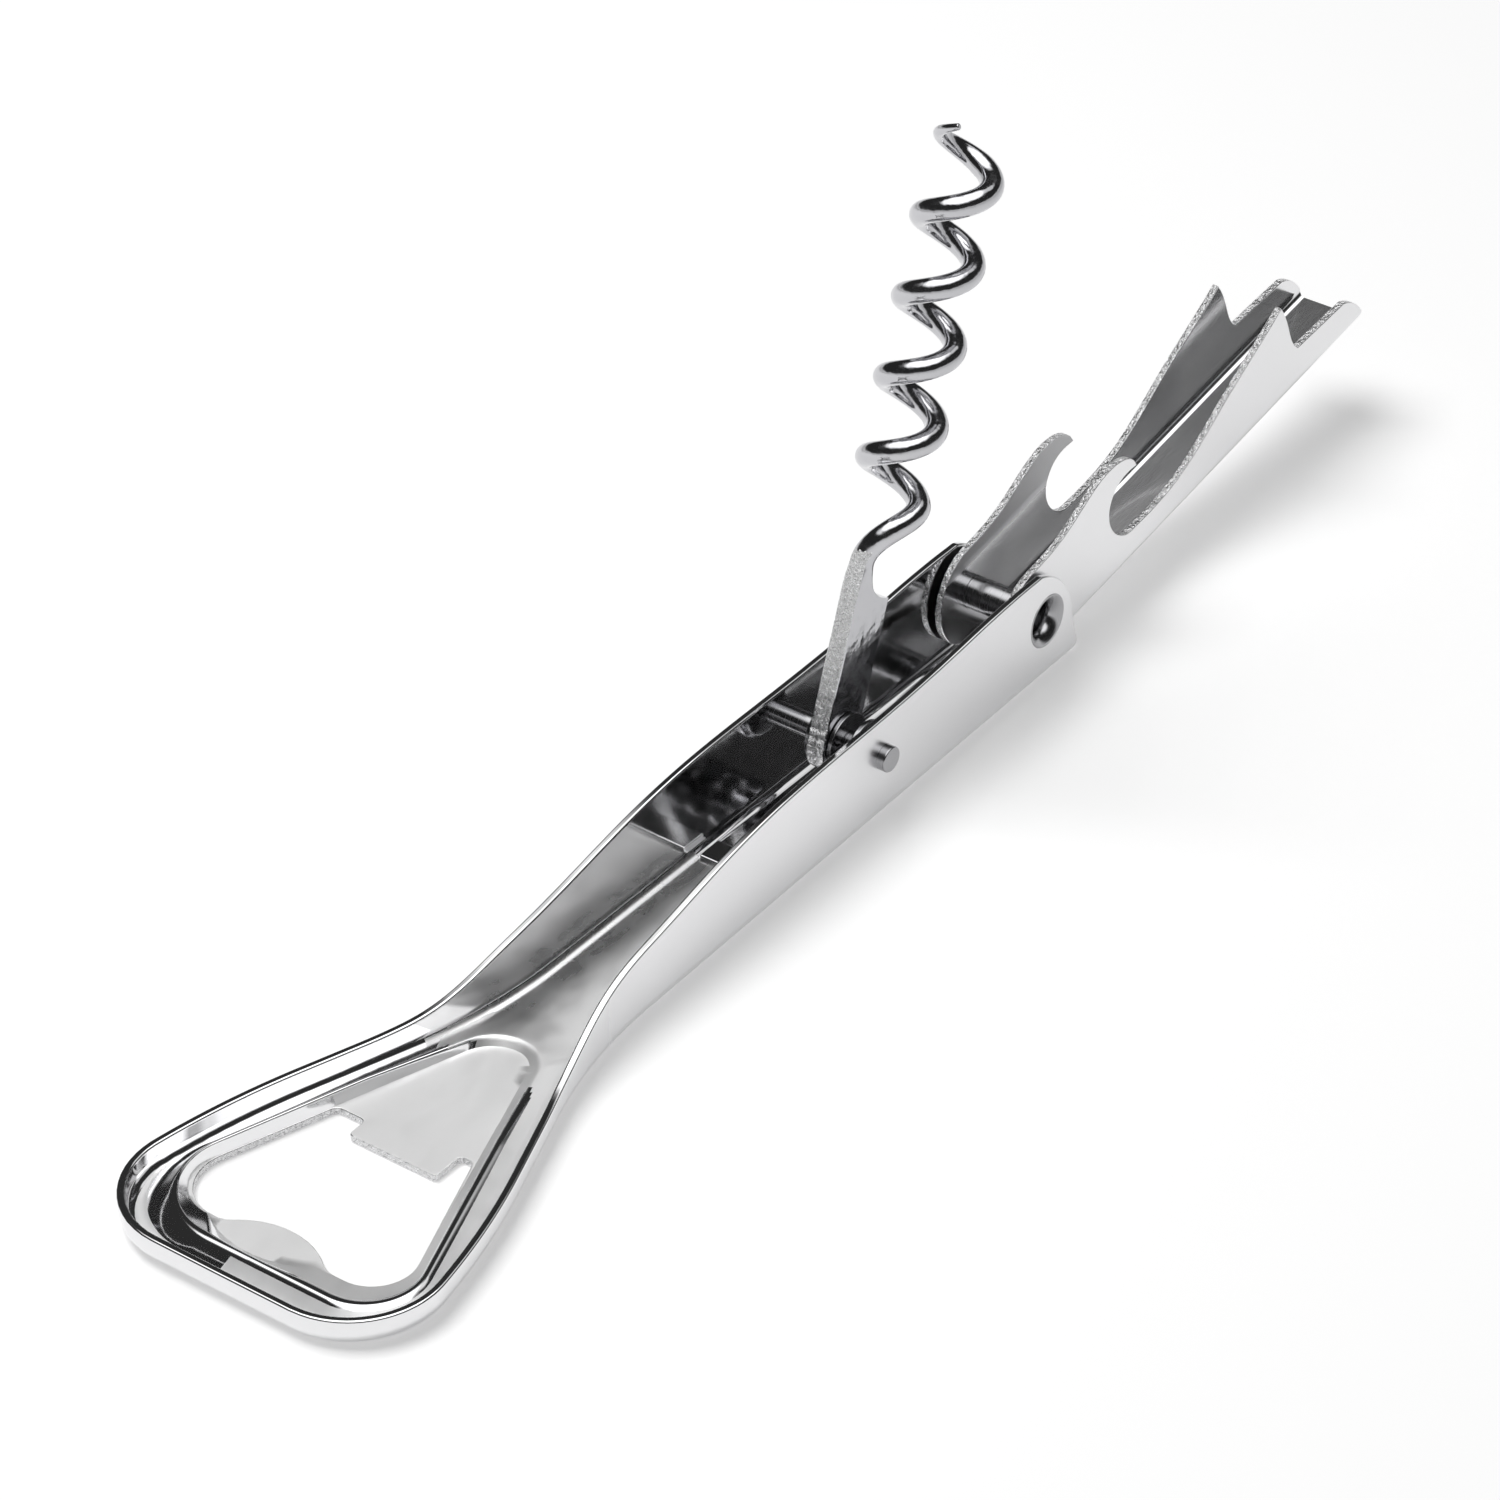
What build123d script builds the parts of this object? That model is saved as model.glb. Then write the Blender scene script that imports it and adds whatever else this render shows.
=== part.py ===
from build123d import *
import math
import os

# A folding lever corkscrew with a cap opener, in millimetres.
# It lies on its flat back with the lever and the worm open.
# Origin: on the back, under the worm's pin. +X runs to the lever, +Z is up out of the channel.

# Handle: one stamped sheet, a channel that flares into the opener's loop
SHEET = 0.8
BACK_BEND = 1.8  # outer radius where the walls meet the back
CHANNEL_HALF = 5.6  # outer half width over the worm's pin
CHANNEL_TAPER = 0.011  # half width lost per millimetre towards the lever
LOOP_END = -88.5
FLARE_START = -36.5
FLANK_START = (-53.5, 9.05)
FLANK_LENGTH = 10.6
WIDEST = (-78.2, 16.4)
LOOP_CORNER = 8.9
NOSE_END = 32.7
WALL_TOP = 12.5  # wall height at the hinge
RIM_TOP = 3.2  # wall height round the loop
CUT_REACH = 25.0  # half length of a cutter across the handle

# Opener: a ridge round the opening, with its tongue and its cap tooth
CREST_BASE_Z = 2.4
CREST_FALL = 0.021  # drop of the crest per millimetre towards the channel
RELIEF_BASE_Z = 1.2  # depth of the groove under the ridge
RELIEF_FALL = 0.021
OPENING_BASE_X = -80.8
OPENING_SLOPE = 0.355
OPENING_FAR_APEX = -40.4
OPENING_NEAR_APEX = -44.3
TONGUE_FRONT = -65.7
TONGUE_HALF = 4.95
NEAR_NOTCH_END = -62.3
FAR_NOTCH_END = -63.4
TOOTH_RADIUS = 8.25
TOE_RADIUS = 1.0
TOOTH_CENTRE = (-86.75, 0.5)
RIB_X = -14.5  # low rib across the channel's floor
RIB_LENGTH = 3.0
RIB_RISE = 0.45

# Hinge rivet and worm pin
HINGE_X = 27.4
HINGE_Z = 6.96
PIN_Z = 7.16
RIVET_RADIUS = 1.7
FLARE_RADIUS = 2.8
FLARE_DEPTH = 1.0
CUP_RADIUS = 2.45
CUP_BORE = 1.2
CUP_DEPTH = 3.0
RIVET_HEAD_RADIUS = 3.1
RIVET_HEAD_HEIGHT = 0.9
RIVET_CROWN_RADIUS = 1.6
PIN_RADIUS = 1.15
PIN_PROUD = 1.35
PIN_FAR_PROUD = 0.3
FIT_GAP = 0.05  # radial clearance of a turning fit
PRESS_GAP = 0.005

# Lever: one stamped channel. Its own u runs along it and v up, from the hinge axis
LEVER_SHEET = 0.75
LEVER_HALF = 4.1
LEVER_FLOOR = -5.5
LEVER_BEND = 1.5
LEVER_LIFT = 9.0  # degrees that the open lever rises over the handle
EAR_RADIUS = 5.5
WEB_START = 5.0
LEVER_END = 58.8

# Worm: a round wire coil on a flat shank. Its own z runs up its axis from the pin
WORM_LEAN = 21.8  # degrees past upright, towards the lever
WIRE_RADIUS = 1.15
COIL_RADIUS = 2.85  # to the middle of the wire
COIL_PITCH = 7.77
COIL_START_Z = 23.38
COIL_START_ANGLE = -54.5
TAPER_START_Z = 55.6
TIP_END_Z = 59.6
TIP_RADIUS = 0.32
TIP_SECTIONS = 7
SHANK_THICK = 2.0
SHANK_LEFT = -3.4
SHANK_RIGHT = 2.5
SHANK_HEEL = -3.2
SHOULDER_Z = 13.8
NECK_Z = 17.5
NECK_X = -2.3
WASHER_RADIUS = 2.9
WASHER_THICK = 0.5
WALL_WASHER_Y = 3.2


def half_width(x):
    """Outer half width of the straight channel."""
    return CHANNEL_HALF - CHANNEL_TAPER * x


def channel_wall(x):
    """Inner half width of the straight channel."""
    return half_width(x) - SHEET


def handle_plan():
    """Outer plan of the handle, left long at the lever's end for the side profile to cut."""
    far_end = NOSE_END + 12
    side = Line((far_end, half_width(far_end)), (FLARE_START, half_width(FLARE_START)))
    swell = TangentArc(side @ 1, FLANK_START, tangent=side % 1)
    flank = Line(swell @ 1, (swell @ 1) + (swell % 1) * FLANK_LENGTH)
    turn = TangentArc(flank @ 1, WIDEST, tangent=flank % 1)
    heading = turn % 1
    centre = (turn @ 1) + Vector(-heading.Y, heading.X) * LOOP_CORNER
    corner = TangentArc(turn @ 1, centre - Vector(LOOP_CORNER, 0), tangent=heading)
    half = side + swell + flank + turn + corner
    base_end = corner @ 1
    base = Line(base_end, (base_end.X, -base_end.Y))
    mouth = Line((far_end, half_width(far_end)), (far_end, -half_width(far_end)))
    return make_face(half + base + mirror(half, Plane.XZ) + mouth)


def bent_up(plan, floor_z, radius):
    """A plan raised to a tall block, with its bottom edges rounded except at the open mouth."""
    block = extrude(Pos(0, 0, floor_z) * plan, WALL_TOP + 4)
    bottom = block.edges().filter_by_position(Axis.Z, floor_z - 0.01, floor_z + 0.01)
    return fillet(bottom.sort_by(Axis.X)[:-1], radius)


def handle_side():
    """Side profile: the wall's top edge from the loop to the hinge, and the rounded nose."""
    rim = Line((LOOP_END - 2, RIM_TOP), (-58, RIM_TOP))
    slope = Spline(
        (-58, RIM_TOP), (-50, 3.9), (-43, 6.3), (-34, 8.3), (-24, 10.25), (-16, 11.15), (-5, 11.4),
        (10, 11.75), (20, 12.4),
        tangents=[(1, 0), (1, 0.04)],
    )
    crown = Spline((20, 12.4), (23, WALL_TOP), (26.4, WALL_TOP), tangents=[(1, 0.04), (1, 0)])
    brow = ThreePointArc((26.4, WALL_TOP), (30.3, 9.8), (31.9, 6.0))
    nose = Line((31.9, 6.0), (NOSE_END, 2.2))
    chin = ThreePointArc((NOSE_END, 2.2), (32.3, 0.6), (31.2, 0))
    back = Polyline((31.2, 0), (LOOP_END - 2, 0), (LOOP_END - 2, RIM_TOP))
    return make_face(rim + slope + crown + brow + nose + chin + back)


def rounded_triangle(far_side, near_side, base_x, apex_radius, far_radius, near_radius):
    """A triangle pointing to the lever; a side is its slope and where it meets the middle line."""
    (far_slope, far_x), (near_slope, near_x) = far_side, near_side
    apex_x = (far_slope * far_x + near_slope * near_x) / (far_slope + near_slope)
    far_corner = (base_x, far_slope * (far_x - base_x))
    near_corner = (base_x, -near_slope * (near_x - base_x))
    face = make_face(Polyline(far_corner, (apex_x, far_slope * (far_x - apex_x)), near_corner, far_corner))
    for place, radius in ((Axis.X, apex_radius), (Axis.Y, far_radius)):
        face = fillet(face.vertices().sort_by(place)[-1], radius)
    return fillet(face.vertices().sort_by(Axis.Y)[0], near_radius)


def tilted(face, base_z, fall):
    """A plan face set on a plane that falls towards the lever from base_z at the loop's end."""
    plane = Plane(origin=(LOOP_END, 0, base_z), x_dir=(1, 0, -fall), z_dir=(fall, 0, 1))
    return plane * Pos(-LOOP_END, 0) * face


def opener_ridge():
    """The pressed ridge round the opening, with the funnel inside it taken away."""
    foot_side, crest_side = (0.31, -27), (0.35, -38)
    foot = Pos(0, 0, SHEET) * rounded_triangle(foot_side, foot_side, -85.9, 6.3, 8.5, 6.6)
    crest = tilted(rounded_triangle(crest_side, crest_side, -84.6, 4.4, 8, 5.5), CREST_BASE_Z, CREST_FALL)
    inner = rounded_triangle((0.35, -38.9), (0.35, -39.3), -84.1, 4.1, 7.6, 5.1)
    mouth = rounded_triangle((0.355, -40.0), (0.335, -42.3), -81.2, 3.5, 4.8, 4.2)
    funnel = loft([Pos(0, 0, SHEET) * mouth, tilted(inner, CREST_BASE_Z, CREST_FALL)])
    return loft([foot, crest]) - funnel


def ridge_relief():
    """The groove that pressing the ridge leaves in the back."""
    outer_foot = rounded_triangle((0.31, -28.2), (0.31, -28.2), -85.5, 5.95, 8.2, 6.3)
    outer_top = rounded_triangle((0.352, -36.9), (0.352, -37.6), -84.9, 4.5, 7.9, 5.7)
    inner_foot = rounded_triangle((0.352, -37.6), (0.352, -40.5), -82.1, 4.5, 5.6, 5)
    inner_top = rounded_triangle((0.352, -37.5), (0.352, -39.0), -84.3, 4.2, 7.4, 5.3)
    outer = loft([outer_foot, tilted(outer_top, RELIEF_BASE_Z, RELIEF_FALL)])
    return outer - loft([inner_foot, tilted(inner_top, RELIEF_BASE_Z, RELIEF_FALL)])


def opening():
    """The opening through the loop: tongue in front, notches beside it, cap tooth at the back."""
    def far_y(x):
        return OPENING_SLOPE * (OPENING_FAR_APEX - x)

    def near_y(x):
        return -OPENING_SLOPE * (OPENING_NEAR_APEX - x)

    base_x, side_x = OPENING_BASE_X, -70.5
    edge = Polyline(
        (base_x, far_y(base_x)), (side_x, far_y(side_x)), (FAR_NOTCH_END, 6.9), (FAR_NOTCH_END, TONGUE_HALF),
        (TONGUE_FRONT, TONGUE_HALF), (TONGUE_FRONT, -TONGUE_HALF), (NEAR_NOTCH_END, -TONGUE_HALF),
        (NEAR_NOTCH_END, -6.5), (side_x, near_y(side_x)), (base_x, near_y(base_x)), (base_x, far_y(base_x)),
    )
    face = make_face(edge)
    face = fillet(face.vertices().sort_by(Axis.Y)[-1], 4.8)
    face = fillet(face.vertices().sort_by(Axis.Y)[0], 4)
    notch_ends = face.vertices().filter_by_position(Axis.X, TONGUE_FRONT + 1, NEAR_NOTCH_END + 1)
    face = fillet(notch_ends, 0.6)
    face = fillet(face.vertices().filter_by_position(Axis.X, TONGUE_FRONT - 0.1, TONGUE_FRONT + 0.1), 0.5)
    face -= Pos(*TOOTH_CENTRE) * Circle(TOOTH_RADIUS)
    base_points = face.vertices().filter_by_position(Axis.X, base_x - 0.01, base_x + 0.01)
    toes = [point for point in base_points if abs(point.Y) < TOOTH_RADIUS - 1.5]
    face = fillet(toes, TOE_RADIUS)
    return extrude(Pos(0, 0, -1) * face, 3)


def across(radius, start_y, end_y):
    """A round bar along Y about the Z = 0 axis."""
    return Pos(0, (start_y + end_y) / 2, 0) * Rot(90, 0, 0) * Cylinder(radius, abs(end_y - start_y))


def rivet_hole():
    """The hole that the rivet fills, flared in the near wall, about the rivet's own axis."""
    near_face = -half_width(HINGE_X)
    outline = Polyline(
        (0, -CUT_REACH), (FLARE_RADIUS + PRESS_GAP, -CUT_REACH), (FLARE_RADIUS + PRESS_GAP, near_face),
        (RIVET_RADIUS + PRESS_GAP, near_face + FLARE_DEPTH), (RIVET_RADIUS + PRESS_GAP, CUT_REACH),
        (0, CUT_REACH), (0, -CUT_REACH),
    )
    return revolve(make_face(outline), Axis.Y)


def hinge_rivet():
    """Semi-tubular rivet: its hollow end is flared into the near wall, its head is on the far one."""
    near_face = -half_width(HINGE_X)
    seat = half_width(HINGE_X - RIVET_HEAD_RADIUS)
    crown = seat + RIVET_HEAD_HEIGHT
    brim = seat + 0.25
    cup_floor = near_face + CUP_DEPTH
    funnel_end = near_face + 1.3
    outline = (
        Polyline((0, crown), (0, cup_floor + 0.5), (CUP_BORE, cup_floor), (CUP_BORE, funnel_end))
        + ThreePointArc((CUP_BORE, funnel_end), (1.6, near_face + 0.55), (CUP_RADIUS, near_face))
        + Polyline(
            (CUP_RADIUS, near_face), (FLARE_RADIUS, near_face), (RIVET_RADIUS, near_face + FLARE_DEPTH),
            (RIVET_RADIUS, seat), (RIVET_HEAD_RADIUS, seat), (RIVET_HEAD_RADIUS, brim),
        )
        + ThreePointArc((RIVET_HEAD_RADIUS, brim), (2.65, brim + 0.42), (RIVET_CROWN_RADIUS, crown))
        + Line((RIVET_CROWN_RADIUS, crown), (0, crown))
    )
    return Pos(HINGE_X, 0, HINGE_Z) * revolve(make_face(outline), Axis.Y)


def handle():
    """The stamped handle with its walls, loop, ridge, opening and the two cross holes."""
    plan = handle_plan()
    shell = bent_up(plan, 0, BACK_BEND) - bent_up(offset(plan, -SHEET), SHEET, BACK_BEND - SHEET)
    shell &= extrude(Plane.XZ * handle_side(), CUT_REACH, both=True)
    rib = Pos(RIB_X, 0, SHEET + RIB_RISE / 2) * Box(RIB_LENGTH, 2 * channel_wall(RIB_X) - 1.6, RIB_RISE)
    body = shell + opener_ridge() + rib - ridge_relief() - opening()
    body -= Pos(HINGE_X, 0, HINGE_Z) * rivet_hole()
    body -= Pos(0, 0, PIN_Z) * across(PIN_RADIUS + PRESS_GAP, -CUT_REACH, CUT_REACH)
    return body


def worm_pin():
    """The plain pin that the worm turns on, proud of the near wall."""
    near_end = -half_width(0) - PIN_PROUD
    far_end = half_width(0) + PIN_FAR_PROUD
    pin = across(PIN_RADIUS, near_end, far_end)
    pin = chamfer(pin.edges().filter_by(GeomType.CIRCLE), 0.15)
    return Pos(0, 0, PIN_Z) * pin


def washer(start_y):
    """A thin washer on the worm's pin, from start_y away from the middle."""
    end_y = start_y + math.copysign(WASHER_THICK, start_y)
    ring = across(WASHER_RADIUS, start_y, end_y) - across(PIN_RADIUS + PRESS_GAP, start_y, end_y)
    return Pos(0, 0, PIN_Z) * ring


def lever_side():
    """Side profile of the lever: ears, claw, notch, tooth and forked end, in u and v."""
    claw_back = Spline(
        (0, EAR_RADIUS), (5.3, 5.95), (9.8, 7.4), (13.2, 8.2), (17.8, 6.5),
        tangents=[(1, 0), (0.55, -0.83)],
    )
    claw_tip = Line((17.8, 6.5), (18.2, 5.6))
    throat = Spline(
        (18.2, 5.6), (15.3, 5.6), (13.3, 3.9), (13.2, 1.2), (16.2, -1.5),
        tangents=[(-1, 0.15), (1, -0.1)],
    )
    spine = Spline(
        (16.2, -1.5), (24.9, -1.1), (34.6, 2.6), (44.4, 6.4),
        tangents=[(1, -0.05), (0.9, 0.42)],
    )
    tooth = Spline((44.4, 6.4), (45.5, 3.2), (46.9, -0.45), tangents=[(0.5, -0.85), (0.75, -0.65)])
    fork = Line((46.9, -0.45), (55.6, -0.95))
    prong = ThreePointArc((55.6, -0.95), (57.5, -2.3), (LEVER_END, -4.2))
    under = Polyline((LEVER_END, -4.2), (58.0, LEVER_FLOOR), (0, LEVER_FLOOR), (0, EAR_RADIUS))
    return make_face(claw_back + claw_tip + throat + spine + tooth + fork + prong + under)


def lever():
    """The stamped lever: two ears on the rivet and a channel cut to a claw and a forked end."""
    reach = LEVER_END + 2 * EAR_RADIUS
    middle = reach / 2 - 2 * EAR_RADIUS
    tall = 20.0
    outer = Pos(middle, 0, LEVER_FLOOR + tall / 2) * Box(reach, 2 * LEVER_HALF, tall)
    floor_edges = outer.edges().filter_by(Axis.X).group_by(Axis.Z)[0]
    outer = fillet(floor_edges, LEVER_BEND)
    inner_half = LEVER_HALF - LEVER_SHEET
    floor_top = LEVER_FLOOR + LEVER_SHEET
    inner = Pos(middle, 0, floor_top + tall / 2) * Box(reach + 2, 2 * inner_half, tall)
    inner_edges = inner.edges().filter_by(Axis.X).group_by(Axis.Z)[0]
    inner = fillet(inner_edges, LEVER_BEND - LEVER_SHEET)
    profile = extrude(Plane.XZ * lever_side(), CUT_REACH, both=True)
    ears = Rot(90, 0, 0) * Cylinder(EAR_RADIUS, 2 * CUT_REACH)
    body = (outer - inner) & (profile + ears)
    web_gap = Pos(WEB_START - reach / 2, 0, 0) * Box(reach, 2 * inner_half, 3 * EAR_RADIUS)
    body -= web_gap
    body -= across(RIVET_RADIUS + FIT_GAP, -CUT_REACH, CUT_REACH)
    return Pos(HINGE_X, 0, HINGE_Z) * Rot(0, -LEVER_LIFT, 0) * body


def shank():
    """The worm's flat shank with its eye, up to the neck where it turns into wire."""
    outline = make_face(
        Line((SHANK_LEFT, SHANK_HEEL + 2.4), (SHANK_LEFT, NECK_Z))
        + Line((SHANK_LEFT, NECK_Z), (NECK_X + WIRE_RADIUS, NECK_Z))
        + Spline(
            (NECK_X + WIRE_RADIUS, NECK_Z), (-0.5, 15.0), (SHANK_RIGHT, SHOULDER_Z),
            tangents=[(0, -1), (1, -0.15)],
        )
        + Line((SHANK_RIGHT, SHOULDER_Z), (SHANK_RIGHT, SHANK_HEEL + 2.4))
        + ThreePointArc(
            (SHANK_RIGHT, SHANK_HEEL + 2.4), ((SHANK_LEFT + SHANK_RIGHT) / 2, SHANK_HEEL),
            (SHANK_LEFT, SHANK_HEEL + 2.4),
        )
    )
    plate = extrude(Plane.XZ * outline, SHANK_THICK / 2, both=True)
    groove_step = 0.9
    for n in range(4):
        groove = Pos(SHANK_LEFT - 0.15, 0, SHANK_HEEL + 1.7 + n * groove_step)
        plate -= groove * Rot(90, 0, 0) * Cylinder(0.3, SHANK_THICK + 1)
    return plate - across(PIN_RADIUS + FIT_GAP, -CUT_REACH, CUT_REACH)


def on_coil(z):
    """Point, way out from the axis and heading of the wire's middle line at a height on the coil."""
    angle = math.radians(COIL_START_ANGLE + 360 * (z - COIL_START_Z) / COIL_PITCH)
    outward = Vector(math.cos(angle), math.sin(angle), 0)
    along = Vector(-math.sin(angle), math.cos(angle), 0) * (math.tau * COIL_RADIUS) + Vector(0, 0, COIL_PITCH)
    return outward * COIL_RADIUS + Vector(0, 0, z), outward, along.normalized()


def worm_tip():
    """The coil's last half turn, which tapers to a blunt point."""
    sections = []
    for n in range(TIP_SECTIONS):
        share = n / (TIP_SECTIONS - 1)
        place, outward, along = on_coil(TAPER_START_Z + (TIP_END_Z - TAPER_START_Z) * share)
        radius = WIRE_RADIUS + (TIP_RADIUS - WIRE_RADIUS) * share
        sections.append(Plane(place, x_dir=outward, z_dir=along) * Circle(radius))
    return loft(sections)


def worm():
    """The worm: shank, a neck that swings out to the coil, the coil and its point."""
    coil = Helix(COIL_PITCH, TAPER_START_Z - COIL_START_Z, COIL_RADIUS)
    coil = Pos(0, 0, COIL_START_Z) * Rot(0, 0, COIL_START_ANGLE) * coil
    neck_start = Vector(NECK_X, 0, NECK_Z - 2)
    neck_middle = Vector(-1.75, -1.3, 20.6)
    neck = Spline(
        neck_start, Vector(NECK_X, 0, NECK_Z), neck_middle, coil @ 0,
        tangents=[(0, 0, 1), coil % 0],
    )
    wire = Circle(WIRE_RADIUS)
    neck_wire = sweep(Plane(neck @ 0, z_dir=neck % 0) * wire, neck)
    coil_wire = sweep(Plane(coil @ 0, z_dir=coil % 0) * wire, coil, is_frenet=True)
    body = shank() + neck_wire + coil_wire + worm_tip()
    return Pos(0, 0, PIN_Z) * Rot(0, WORM_LEAN, 0) * body


def main():
    """Writes one STEP file per piece."""
    shank_face = SHANK_THICK / 2 + FIT_GAP
    pieces = {
        "handle": handle(),
        "lever": lever(),
        "worm": worm(),
        "worm_pin": worm_pin(),
        "hinge_rivet": hinge_rivet(),
        "shank_washer_near": washer(-shank_face),
        "shank_washer_far": washer(shank_face),
        "wall_washer_near": washer(-WALL_WASHER_Y),
    }
    os.makedirs("parts", exist_ok=True)
    for name, piece in pieces.items():
        piece.label = name
        export_step(piece, f"parts/{name}.step")


main()
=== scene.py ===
import contextlib
import math

import bmesh
import bpy
import numpy as np
from mathutils import Matrix, Vector


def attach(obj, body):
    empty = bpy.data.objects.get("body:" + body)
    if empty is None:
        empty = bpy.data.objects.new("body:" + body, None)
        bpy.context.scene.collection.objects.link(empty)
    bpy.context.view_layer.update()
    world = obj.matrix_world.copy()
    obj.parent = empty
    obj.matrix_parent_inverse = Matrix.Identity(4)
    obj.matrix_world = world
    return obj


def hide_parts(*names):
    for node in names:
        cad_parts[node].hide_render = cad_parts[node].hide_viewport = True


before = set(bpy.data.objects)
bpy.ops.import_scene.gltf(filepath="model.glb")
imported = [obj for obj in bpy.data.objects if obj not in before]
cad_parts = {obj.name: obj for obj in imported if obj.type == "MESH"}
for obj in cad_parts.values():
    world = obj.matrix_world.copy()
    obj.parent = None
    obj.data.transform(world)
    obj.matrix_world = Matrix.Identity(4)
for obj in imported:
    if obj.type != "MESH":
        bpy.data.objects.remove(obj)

# A folding lever corkscrew: a stamped channel handle with a cap opener, a hinged lever and a folding worm.
# Pieces are shaped in millimetres, which suit the modelling tools' limits, and brought to metres at the end.

bl_info = {
    "name": "Folding Lever Corkscrew",
    "version": (1, 0, 0),
    "blender": (4, 5, 0),
    "location": "3D View > Sidebar > Corkscrew",
    "description": "Builds a nickel plated folding lever corkscrew and a small studio for it",
    "category": "Object",
}

MM = 0.001
WELD = 0.0005  # points nearer than this, in millimetres, are one point
SHARP = math.radians(38)  # faces that meet at more than this keep a sharp line between them
CUT_REACH = 12.0  # how far a cutter stands out to each side

# Handle, in millimetres as in the part's source
SHEET = 0.8
BACK_BEND = 1.8
INNER_BEND = BACK_BEND - SHEET
CHANNEL_HALF = 5.6
CHANNEL_TAPER = 0.011
LOOP_END = -88.5
FLARE_START = -36.5
FLANK_START = (-53.5, 9.05)
FLANK_LENGTH = 10.6
WIDEST = (-78.2, 16.385)
LOOP_CORNER = 8.9
BLANK_END = 32.75  # where the channel stops before its lower lip is cut
WALL_TOP = 12.5
RIM_TOP = 3.2
RIM_SOFTNESS = 0.24
CREST_TOP = 2.1
CREST_KNEE = -60.0  # from here to the lever the ridge's crest falls
CREST_FALL = 0.05
RELIEF_DROP = 1.2  # from the crest down to the sheet's other side
TOOTH_SWELL = 1.85  # how far the cap tooth's flat reaches into the ridge's slope
OPENING_BASE_X = -80.8
OPENING_SLOPE = 0.355
OPENING_FAR_APEX = -40.4
OPENING_NEAR_APEX = -44.3
TONGUE_HALF = 4.95
TONGUE_FRONT = -65.7
RIB_X = -14.5
RIB_Z = 0.85
RIB_SIZE = (3.0, 8.3, 0.8)
FAR, NEAR = 1, -1  # the handle's two sides, along +Y and -Y

# Hinge, pin and washers
HINGE_X = 27.4
HINGE_Z = 6.96
PIN_Z = 7.16
RIVET_RADIUS = 1.7
FLARE_RADIUS = 2.8
FLARE_DEPTH = 1.0
CUP_BORE = 1.45
CUP_DEPTH = 3.0
RIVET_HEAD_RADIUS = 3.1
RIVET_BRIM = 0.25
RIVET_HEAD_HEIGHT = 0.9
PIN_RADIUS = 1.15
PIN_SWELL = 0.15  # how much wider the pin's proud end is
PIN_PROUD = 0.95
PIN_FAR_PROUD = 0.3
WASHER_RADIUS = 2.9
WASHER_THICK = 0.5
WALL_WASHER_Y = 3.2
FIT_GAP = 0.05

# Lever, in its own u and v from the hinge
LEVER_SHEET = 0.75
LEVER_HALF = 4.1
LEVER_FLOOR = -5.5
LEVER_BEND = 1.5
LEVER_LIFT = math.radians(9)
EAR_RADIUS = 5.5
WEB_START = 5.0

# Worm, in its own frame with z up its axis from the pin
WORM_LEAN = math.radians(21.8)
WIRE_RADIUS = 1.15
COIL_RADIUS = 2.85
COIL_PITCH = 7.77
COIL_START_Z = 23.38
COIL_START_ANGLE = math.radians(-54.5)
TAPER_START_Z = 55.6
TIP_END_Z = 59.6
TIP_RADIUS = 0.32
SHANK_LEFT = -3.4
SHANK_RIGHT = 2.5
SHANK_HEEL = -3.2
SHANK_TOP = 13.8
SHANK_HALF_THICK = 1.0
NECK_Z = 17.5
NECK_X = -2.3


# Settings


class CorkscrewFinish(bpy.types.PropertyGroup):
    nickel_colour: bpy.props.StringProperty(
        name="Nickel colour", description="Colour of the bright nickel plate, as sRGB hex", default="E4E4E5")
    nickel_roughness: bpy.props.FloatProperty(
        name="Nickel roughness", description="Roughness of the polished plate", default=0.07,
        min=0.0, max=1.0, subtype="FACTOR")
    # The satin colour is set lighter than the polished nickel's. This is painted light, standing in for the
    # brighter light on the pressed floor and tongue.
    satin_colour_with_painted_light: bpy.props.StringProperty(
        name="Satin colour", description="Colour of the pressed floor and tongue, as sRGB hex",
        default="F2F2F2")
    satin_roughness: bpy.props.FloatProperty(
        name="Satin roughness", description="Roughness of the pressed floor and tongue", default=0.62,
        min=0.0, max=1.0, subtype="FACTOR")
    wall_roughness: bpy.props.FloatProperty(
        name="Wall roughness", description="Roughness of the rolled outside of the sheet", default=0.3,
        min=0.0, max=1.0, subtype="FACTOR")
    # The wire colour is set greyer than the sheet's nickel. This is painted shade, standing in for the darker
    # surroundings that the coil mirrors.
    wire_colour_with_painted_shade: bpy.props.StringProperty(
        name="Wire colour", description="Colour of the plated wire, as sRGB hex", default="C0C0C3")
    # The steel colour is the steel's own grey, set darker still as painted shade for the dark sides of the
    # pin and the rivet's hollow.
    steel_colour_with_painted_shade: bpy.props.StringProperty(
        name="Steel colour", description="Colour of the pin, rivet and washers, as sRGB hex",
        default="A2A2A4")
    edge_softness: bpy.props.FloatProperty(
        name="Edge softness", description="Rounding of sheared edges, in millimetres", default=0.12,
        min=0.02, max=0.3)


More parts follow.
